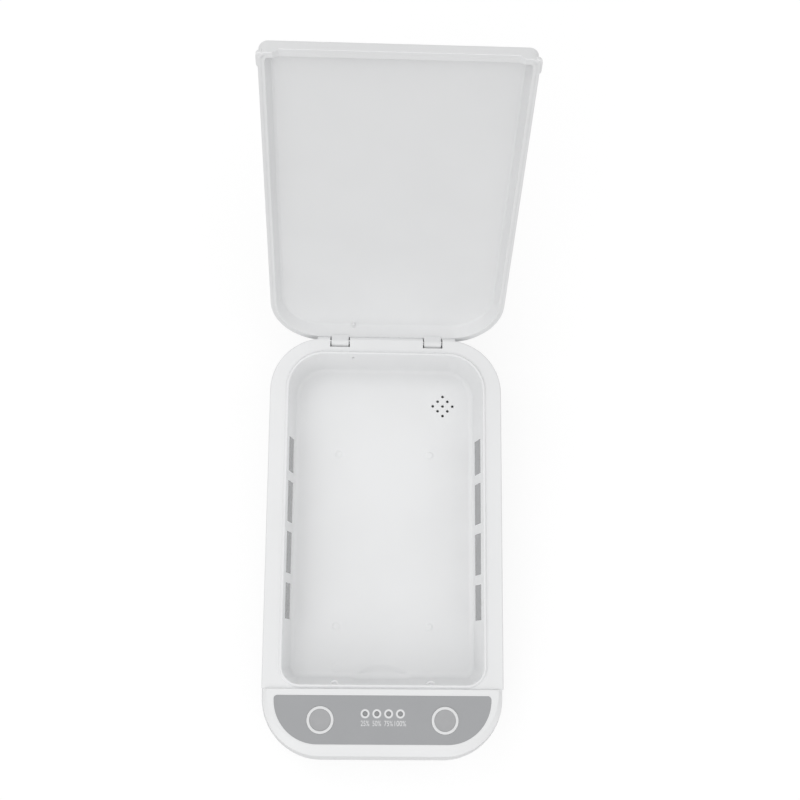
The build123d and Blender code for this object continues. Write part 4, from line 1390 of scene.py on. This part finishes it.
def make_lid_ear(form, side):
    """Long lug at a front corner of the rim: a rounded bar with soft edges, mostly inside it."""
    low, high, soft = RIM_LEVEL + LID_EAR_LOW, RIM_LEVEL + LID_EAR_HIGH, LID_EAR_SOFT
    front = form.front + 0.4 * MM
    deep = 1.7 * MM
    profile = rounded((deep, low), (0.0, low, soft), (0.0, high, 2 * soft), (deep, high), steps=5)
    rows = []
    for inset, level in profile:
        half = LID_EAR_HALF - inset
        loop = outline(half, front + inset, front + LID_EAR_LENGTH - inset, half, half)
        loop[:, 0] += side * (form.half + LID_EAR_PROUD - LID_EAR_HALF)
        rows.append(at_height(loop, level))
    piece = tube("lid_ear_" + side_name(side), on_lid(rows))
    place_piece(piece, "lid", "white_casing")


def make_lid_knuckle(side):
    """Hinge knuckle: a barrel (r cos a, r sin a) run into an arm up to the rim, along the pin."""
    top = RIM_LEVEL + 0.2 * MM
    turn = np.linspace(np.pi, 2 * np.pi + np.arccos(LID_BACK / KNUCKLE_RADIUS), 33)
    barrel = KNUCKLE_RADIUS * np.column_stack((np.cos(turn), np.sin(turn)))
    shape = np.vstack((barrel, [(LID_BACK, top), (-KNUCKLE_RADIUS, top)]))
    centre = shape.mean(0)
    away = shape - centre
    reach = np.linalg.norm(away, axis=1, keepdims=True)
    x, half, soft = side * hinge_offset(), KNUCKLE_WIDTH / 2, KNUCKLE_SOFT
    rows = [
        np.column_stack((np.full(len(shape), x + place), centre + away * (1 - shrink / reach)))
        for place, shrink in ((-half, soft), (soft - half, 0.0), (half - soft, 0.0), (half, soft))
    ]
    piece = tube("lid_knuckle_" + side_name(side), on_lid(rows))
    place_piece(piece, "lid", "white_casing")


def make_lid_liner(form):
    """Liner: rim, sloping walls rounded into a flat floor, and the relief through its front."""
    lid = form.lid
    rim, floor, lean = RIM_LEVEL, RIM_LEVEL + LINER_DEPTH, np.tan(lid.slope)
    start = lid.wall + LINER_GAP
    lip = rounded(
        (start, rim + 0.3 * MM),
        (start, rim, 0.12 * MM),
        (lid.rim, rim, 0.3 * MM),
        (lid.rim + 0.5 * MM * lean, rim + 0.5 * MM),
        steps=4,
    )
    wall = rounded(
        (lid.rim + 2.9 * MM * lean, rim + 2.9 * MM),
        (lid.rim + LINER_DEPTH * lean, floor, 1.6 * MM),
        (lid.rim + LINER_DEPTH * lean + 4 * MM, floor),
        steps=8,
    )
    rows = [
        form.loop(start, level, SHELL_INNER_RADIUS)
        for level in (floor + 1.1 * MM, rim + lid.relief_height + 0.5 * MM)
    ]
    for inset, level in lip:
        share = np.clip((inset - start) / (lid.rim - start), 0, 1)
        radius = LINER_LIP_RADIUS + share * (LINER_FRONT_RADIUS - LINER_LIP_RADIUS)
        rows.append(form.lifted(inset, level, radius, lean * share))
    rows += [
        form.loop(inset, level, max(LINER_FRONT_RADIUS - (inset - lid.rim), 1.0 * MM))
        for inset, level in wall
    ]
    rows = on_lid(rows)
    skin = Skin()
    skin.grid(rows)
    skin.cap(rows[-1])
    skin.cap(rows[0], flip=True)
    place_piece(skin.make("lid_liner_panel"), "lid", "white_lining", "lid_liner")


def make_lid_rib():
    """Small rib on the liner's floor that meets the lid sensor."""
    half_x, half_y, rise = RIB_SIZE
    floor, y = RIM_LEVEL + LINER_DEPTH, LID_BACK - RIB_PLACE
    top = floor - rise
    rows = []
    for inset, level in rounded((0.0, floor), (0.0, top, RIB_SOFT), (RIB_SOFT, top), steps=3):
        loop = outline(half_x - inset, y - half_y + inset, y + half_y - inset, 0.3 * MM, 0.3 * MM)
        loop[:, 0] += SENSOR_X
        rows.append(at_height(loop, level))
    piece = tube("lid_sensor_rib", on_lid(rows[::-1]))
    place_piece(piece, "lid", "white_lining")


# ------------------------------------------------------------------ panel

BUTTON_NAMES = ("sterilize", "aroma")
PIPE_NODES = ("light_pipe_25", "light_pipe_50", "light_pipe_75", "light_pipe_100")
LED_NODES = ("led_25", "led_50", "led_75", "led_100")
BUTTON_GAP = 0.08 * MM
STEM_RADIUS = 1.6 * MM
DISH = 0.1 * MM
PIPE_GAP = 0.05 * MM
COLLAR = 0.8 * MM
INK = 0.015 * MM
DIGIT_WIDTH = 1.42 * MM
ROUND_STEPS = 128


def make_overlay(casing, controls):
    """Printed film: a profile carried round its outline, with holes for buttons and lights."""
    low, top = OVERLAY_LOW.z, OVERLAY_TOP
    edge = rounded((0.0, low), (0.0, top, 0.04 * MM), (-0.3 * MM, top), steps=4)
    piece = tube("overlay_film", [overlay_loop(casing, *place) for place in edge])
    buttons = [middle_of(name + "_button_cap") for name in BUTTON_NAMES]
    hole = controls.button_radius + BUTTON_GAP
    carve(piece, discs(buttons, hole, low - MM, top + MM, steps=96))
    lights = [middle_of(node) for node in PIPE_NODES]
    carve(piece, discs(lights, controls.light_radius + PIPE_GAP, low - MM, top + MM))
    place_piece(piece, "base", "grey_overlay", "control_overlay")


def flat_words(words):
    """Mesh of flat lettering, and its points."""
    line = bpy.data.curves.new("cycle_share", "FONT")
    line.body = words
    carrier = bpy.data.objects.new("cycle_share", line)
    mesh = bpy.data.meshes.new_from_object(carrier)
    bpy.data.objects.remove(carrier)
    points = np.empty(len(mesh.vertices) * 3)
    mesh.vertices.foreach_get("co", points)
    return mesh, points.reshape(-1, 3)


def make_printing(controls):
    """White print on the film: a flat ring round each light, and its share of the cycle below."""
    level = OVERLAY_TOP + INK
    ring = [(controls.ring_radius, level), (controls.light_radius + PIPE_GAP, level)]
    skin = Skin()
    for node in PIPE_NODES:
        lathe(skin, middle_of(node), ring, 72)
    place_piece(skin.make("light_rings", turn_out=False), "base", "button_ring")
    for index, node in enumerate(PIPE_NODES[: controls.mark_count]):
        centre = middle_of(node)
        percent = 25 * (index + 1)
        words = f"{percent}%"
        mesh, points = flat_words(words)
        low, high = points.min(0), points.max(0)
        share = (points[:, :2] - low[:2]) / (high[:2] - low[:2]) - 0.5
        points[:, 0] = centre.x + share[:, 0] * (DIGIT_WIDTH * len(words))
        points[:, 1] = centre.y - controls.number_drop + share[:, 1] * controls.number_height
        points[:, 2] = level
        mesh.vertices.foreach_set("co", points.ravel())
        mesh.update()
        number = bpy.data.objects.new(f"number_{percent}", mesh)
        bpy.context.scene.collection.objects.link(number)
        place_piece(number, "base", "button_ring")


def make_button(controls, name):
    """Button: a turned ring with a soft edge, and a turned disc a little lower, slightly dished."""
    body = name + "_button"
    low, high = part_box(body + "_cap")
    disc_low, disc_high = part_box(body + "_disc")
    centre, skirt, top = middle_of(body + "_cap"), disc_low.z, high.z
    outer, inner = controls.button_radius, controls.button_radius - controls.ring_width
    skin = Skin()
    ring = rounded(
        (inner, skirt), (outer, skirt), (outer, top, 0.3 * MM), (inner, top, 0.2 * MM),
        (inner, skirt),
    )
    lathe(skin, centre, ring, ROUND_STEPS)
    stem = rounded(
        (AXIS_RADIUS, low.z), (STEM_RADIUS, low.z, 0.2 * MM), (STEM_RADIUS, skirt),
        (AXIS_RADIUS, skirt), steps=4,
    )
    lathe(skin, centre, stem, 32)
    place_piece(skin.make(body + "_ring"), body, "button_ring", body + "_cap")
    skin = Skin()
    reach = np.linspace(inner - 0.2 * MM, AXIS_RADIUS, 14)
    dish = disc_high.z - DISH * (1 - (reach / inner) ** 2)
    side = [(AXIS_RADIUS, skirt), (inner, skirt), (inner, disc_high.z - 0.15 * MM)]
    lathe(skin, centre, [*side, *zip(reach, dish)], ROUND_STEPS)
    place_piece(skin.make(body + "_face"), body, "button_disc", body + "_disc")


def make_light_pipe(casing, controls, node):
    """Light pipe: a turned rod with a collar under the panel and a shallow dome on top."""
    low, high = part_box(node)
    collar, radius, axis = (high.x - low.x) / 2, controls.light_radius, AXIS_RADIUS / 2
    under = OVERLAY_TOP - casing.wall
    reach = np.linspace(radius - 0.12 * MM, axis, 8)
    dome = high.z - DISH * (reach / radius) ** 2
    rod = rounded(
        (axis, low.z), (radius, low.z), (radius, under - COLLAR),
        (collar, under - COLLAR, 0.1 * MM), (collar, under, 0.1 * MM),
        (radius, under), (radius, high.z - 0.22 * MM), steps=3,
    )
    skin = Skin()
    lathe(skin, middle_of(node), [*rod, *zip(reach, dome)], 48)
    place_piece(skin.make(node + "_rod"), "base", "light_pipe", node)


# ------------------------------------------------------------------ lamps

PINCH_SHARE = 0.45
PINCH_LENGTH = 2.2 * MM
ELECTRODE_ENDS = (5.6 * MM, 3.2 * MM)


def make_lamp(side):
    """Lamp: a glass tube pinched at both ends, with an electrode seen through it at each."""
    node = "uv_lamp_" + side
    low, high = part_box(node)
    x, z = (low.x + high.x) / 2, (low.z + high.z) / 2
    radius = (high.x - low.x) / 2
    pinch = radius * PINCH_SHARE
    glass = rounded(
        (AXIS_RADIUS, low.y), (pinch, low.y, 0.3 * MM), (radius, low.y + PINCH_LENGTH, 1.2 * MM),
        (radius, high.y - PINCH_LENGTH, 1.2 * MM), (pinch, high.y, 0.3 * MM),
        (AXIS_RADIUS, high.y), steps=5,
    )
    skin = Skin()
    lathe_along_y(skin, x, z, glass, 40)
    place_piece(skin.make(node + "_tube"), "base", "lamp_glass", node)
    skin = Skin()
    for end, way in ((low.y, 1), (high.y, -1)):
        near, far = (end + way * place for place in ELECTRODE_ENDS)
        electrode = rounded(
            (AXIS_RADIUS, near), (radius / 2, near, 0.15 * MM), (radius / 2, far, 0.15 * MM),
            (AXIS_RADIUS, far), steps=3,
        )
        lathe_along_y(skin, x, z, electrode, 24)
    place_piece(skin.make(node + "_electrodes"), "base", "steel")


# ------------------------------------------------------------------ stage

CAMERA_PLACE = (-18.456 * MM, -60.624 * MM, 673.962 * MM)
CAMERA_FORWARD = (0.03955849, 0.20663856, -0.97761732)
CAMERA_UP = (-0.01619657, 0.97838721, 0.20614591)
CAMERA_LENS = 56.52
SENSOR_WIDTH = 36.0
FLOOR_GREY = 0.22
FLOOR_ADDED = 0.80
FLOOR_HALF = 2.5
BEND_START = 2.0
BEND_STEPS = 12
LIGHT_SIZE = 0.9
LIGHT_AIM = (0.0, 0.0, 0.05)


def make_floor():
    """Wide floor that bends up behind the object, seen lighter than the light on it makes it.

    The bend is a quarter circle of one metre: y = start + sin a, z = 1 - cos a.
    """
    bench = Bench("studio_floor")
    camera = bench.node("ShaderNodeLightPath", {}, pick="Is Camera Ray")
    rays = camera.socket.node.outputs
    seen = camera + Wire(bench, rays["Is Glossy Ray"]) + Wire(bench, rays["Is Transmission Ray"])
    seen = bench.node("ShaderNodeMath", {"operation": "MINIMUM"}, seen, 1.0)
    bench.set(
        Base_Color=(FLOOR_GREY, FLOOR_GREY, FLOOR_GREY),
        Roughness=0.9,
        Specular_IOR_Level=0.0,
        Emission_Color=(1.0, 1.0, 1.0),
        Emission_Strength=seen * FLOOR_ADDED,
    )
    bend = np.linspace(0, np.pi / 2, BEND_STEPS)[1:]
    flat = np.linspace(-FLOOR_HALF, BEND_START, 20)
    y = np.concatenate((flat, BEND_START + np.sin(bend), np.full(4, BEND_START + 1)))
    z = np.concatenate((np.zeros(20), 1 - np.cos(bend), 1.0 + np.linspace(0.3, 2.0, 4)))
    across = np.linspace(-FLOOR_HALF, FLOOR_HALF, 21)
    skin = Skin()
    skin.grid(np.stack(np.broadcast_arrays(across, y[:, None], z[:, None]), axis=-1), around=False)
    floor = skin.make("studio_floor", turn_out=False)
    floor.data.materials.append(bench.material)


def make_light(name, place, watts):
    """Square area lamp turned from its place to the object."""
    lamp = bpy.data.lights.new(name, "AREA")
    lamp.shape, lamp.size, lamp.energy = "SQUARE", LIGHT_SIZE, watts
    holder = bpy.data.objects.new(name, lamp)
    holder.location = place
    way = Vector(LIGHT_AIM) - Vector(place)
    holder.rotation_euler = way.to_track_quat("-Z", "Y").to_euler()
    bpy.context.scene.collection.objects.link(holder)


def make_camera():
    """Camera from its own place, forward and up directions."""
    forward, up = Vector(CAMERA_FORWARD).normalized(), Vector(CAMERA_UP)
    right = forward.cross(up).normalized()
    up = right.cross(forward)
    turn = Matrix((right, up, -forward)).transposed().to_4x4()
    view = bpy.data.cameras.new("studio_camera")
    view.lens, view.sensor_width, view.sensor_fit = CAMERA_LENS, SENSOR_WIDTH, "HORIZONTAL"
    view.clip_start, view.clip_end = 0.01, 20.0
    camera = bpy.data.objects.new("studio_camera", view)
    camera.matrix_world = Matrix.Translation(CAMERA_PLACE) @ turn
    bpy.context.scene.collection.objects.link(camera)
    bpy.context.scene.camera = camera


def make_world(strength):
    """Even white surroundings."""
    world = bpy.data.worlds.new("studio_world")
    bpy.context.scene.world = world
    world.use_nodes = True
    nodes = world.node_tree.nodes
    background = next(node for node in nodes if node.bl_idname == "ShaderNodeBackground")
    background.inputs["Color"].default_value = (1.0, 1.0, 1.0, 1.0)
    background.inputs["Strength"].default_value = strength


# ------------------------------------------------------------------ operators and panel


class SANITIZER_OT_housing(bpy.types.Operator):
    """Builds the upper casing with its hinge ears"""

    bl_idname = "sanitizer.housing"
    bl_label = "Top Housing"

    def execute(self, context):
        """Makes the pieces."""
        casing = context.scene.sanitizer_casing
        make_deck(casing, context.scene.sanitizer_tray)
        make_panel_frame(casing)
        for side in (-1, 1):
            make_hinge_ear(casing, side)
        make_hinge_ribs()
        return {"FINISHED"}


class SANITIZER_OT_cover(bpy.types.Operator):
    """Builds the lower casing, its feet and its screws"""

    bl_idname = "sanitizer.cover"
    bl_label = "Bottom Cover"

    def execute(self, context):
        """Makes the pieces."""
        make_bottom_cover(context.scene.sanitizer_casing)
        for name in FOOT_NAMES:
            smoothed("foot_" + name)
        smoothed("case_screws")
        return {"FINISHED"}


class SANITIZER_OT_tray(bpy.types.Operator):
    """Builds the chamber tray with its panes, lugs and screws"""

    bl_idname = "sanitizer.tray"
    bl_label = "Chamber Tray"

    def execute(self, context):
        """Makes the pieces."""
        make_chamber_tray(context.scene.sanitizer_tray, context.scene.sanitizer_casing)
        smoothed("tray_screws")
        return {"FINISHED"}


class SANITIZER_OT_lid(bpy.types.Operator):
    """Builds the lid: shell, liner, lugs, knuckles and pins"""

    bl_idname = "sanitizer.lid"
    bl_label = "Lid"

    def execute(self, context):
        """Makes the pieces."""
        form = LidForm(context.scene.sanitizer_lid, context.scene.sanitizer_casing)
        make_lid_shell(form)
        make_lid_liner(form)
        make_lid_rib()
        for side in (-1, 1):
            make_lid_ear(form, side)
            make_lid_knuckle(side)
        for node in ("hinge_pin_left", "hinge_pin_right", "lid_magnet"):
            smoothed(node)
        return {"FINISHED"}


class SANITIZER_OT_panel(bpy.types.Operator):
    """Builds the printed film, its rings and numbers"""

    bl_idname = "sanitizer.panel"
    bl_label = "Panel Film"

    def execute(self, context):
        """Makes the pieces."""
        make_overlay(context.scene.sanitizer_casing, context.scene.sanitizer_controls)
        make_printing(context.scene.sanitizer_controls)
        return {"FINISHED"}


class SANITIZER_OT_buttons(bpy.types.Operator):
    """Builds both buttons"""

    bl_idname = "sanitizer.buttons"
    bl_label = "Buttons"

    def execute(self, context):
        """Makes the pieces."""
        for name in BUTTON_NAMES:
            make_button(context.scene.sanitizer_controls, name)
            smoothed(name + "_switch_plunger")
        return {"FINISHED"}


class SANITIZER_OT_lights(bpy.types.Operator):
    """Builds the progress lights and their light pipes"""

    bl_idname = "sanitizer.lights"
    bl_label = "Progress Lights"

    def execute(self, context):
        """Makes the pieces."""
        casing, controls = context.scene.sanitizer_casing, context.scene.sanitizer_controls
        for pipe, led in zip(PIPE_NODES, LED_NODES):
            make_light_pipe(casing, controls, pipe)
            smoothed(led)
        return {"FINISHED"}


class SANITIZER_OT_lamps(bpy.types.Operator):
    """Builds the lamps with their holders and reflectors"""

    bl_idname = "sanitizer.lamps"
    bl_label = "Lamps"

    def execute(self, context):
        """Makes the pieces."""
        for side in ("left", "right"):
            make_lamp(side)
            smoothed("reflector_" + side)
            for end in ("front", "back"):
                smoothed(f"lamp_holder_{side}_{end}")
        return {"FINISHED"}


class SANITIZER_OT_insides(bpy.types.Operator):
    """Builds the boards, the aroma cup, the inlet and the rest of the inside"""

    bl_idname = "sanitizer.insides"
    bl_label = "Inside Parts"

    def execute(self, context):
        """Makes a piece for each node that nothing stands for yet."""
        shown = [name for name, node in frame["nodes"].items() if not node.hide_render]
        for name in sorted(shown):
            smoothed(name)
        return {"FINISHED"}


class SANITIZER_OT_stage(bpy.types.Operator):
    """Sets up the floor, the light and the camera"""

    bl_idname = "sanitizer.stage"
    bl_label = "Stage"

    def execute(self, context):
        """Makes the stage."""
        context.scene.view_settings.view_transform = "Standard"
        make_floor()
        make_world(0.95)
        make_light("key_light", (-0.9, -1.5, 1.15), 3.5)
        make_light("top_light", (-0.55, 0.95, 1.5), 4.0)
        make_camera()
        return {"FINISHED"}


BUILD_ORDER = (
    SANITIZER_OT_housing,
    SANITIZER_OT_cover,
    SANITIZER_OT_tray,
    SANITIZER_OT_lid,
    SANITIZER_OT_panel,
    SANITIZER_OT_buttons,
    SANITIZER_OT_lights,
    SANITIZER_OT_lamps,
    SANITIZER_OT_insides,
    SANITIZER_OT_stage,
)


class SANITIZER_PT_builders(bpy.types.Panel):
    """Lists the builders in the sidebar"""

    bl_idname = "SANITIZER_PT_builders"
    bl_label = "Phone Sanitizer Box"
    bl_space_type = "VIEW_3D"
    bl_region_type = "UI"
    bl_category = "Sanitizer"

    def draw(self, context):
        """One button for each builder."""
        for operator in BUILD_ORDER:
            self.layout.operator(operator.bl_idname)


SIZE_GROUPS = {
    "sanitizer_casing": CasingSizes,
    "sanitizer_tray": TraySizes,
    "sanitizer_lid": LidSizes,
    "sanitizer_controls": ControlSizes,
    "sanitizer_finishes": Finishes,
}


def register():
    """Registers the groups of sizes, the operators and the panel."""
    for name, group in SIZE_GROUPS.items():
        bpy.utils.register_class(group)
        setattr(bpy.types.Scene, name, bpy.props.PointerProperty(type=group))
    for entry in (*BUILD_ORDER, SANITIZER_PT_builders):
        bpy.utils.register_class(entry)


def unregister():
    """Takes everything that register adds away again."""
    for entry in reversed((*BUILD_ORDER, SANITIZER_PT_builders)):
        bpy.utils.unregister_class(entry)
    for name, group in SIZE_GROUPS.items():
        delattr(bpy.types.Scene, name)
        bpy.utils.unregister_class(group)


def main():
    """Runs every builder in order."""
    register()
    for operator in BUILD_ORDER:
        family, name = operator.bl_idname.split(".")
        getattr(getattr(bpy.ops, family), name)()


if __name__ == "__main__":
    main()
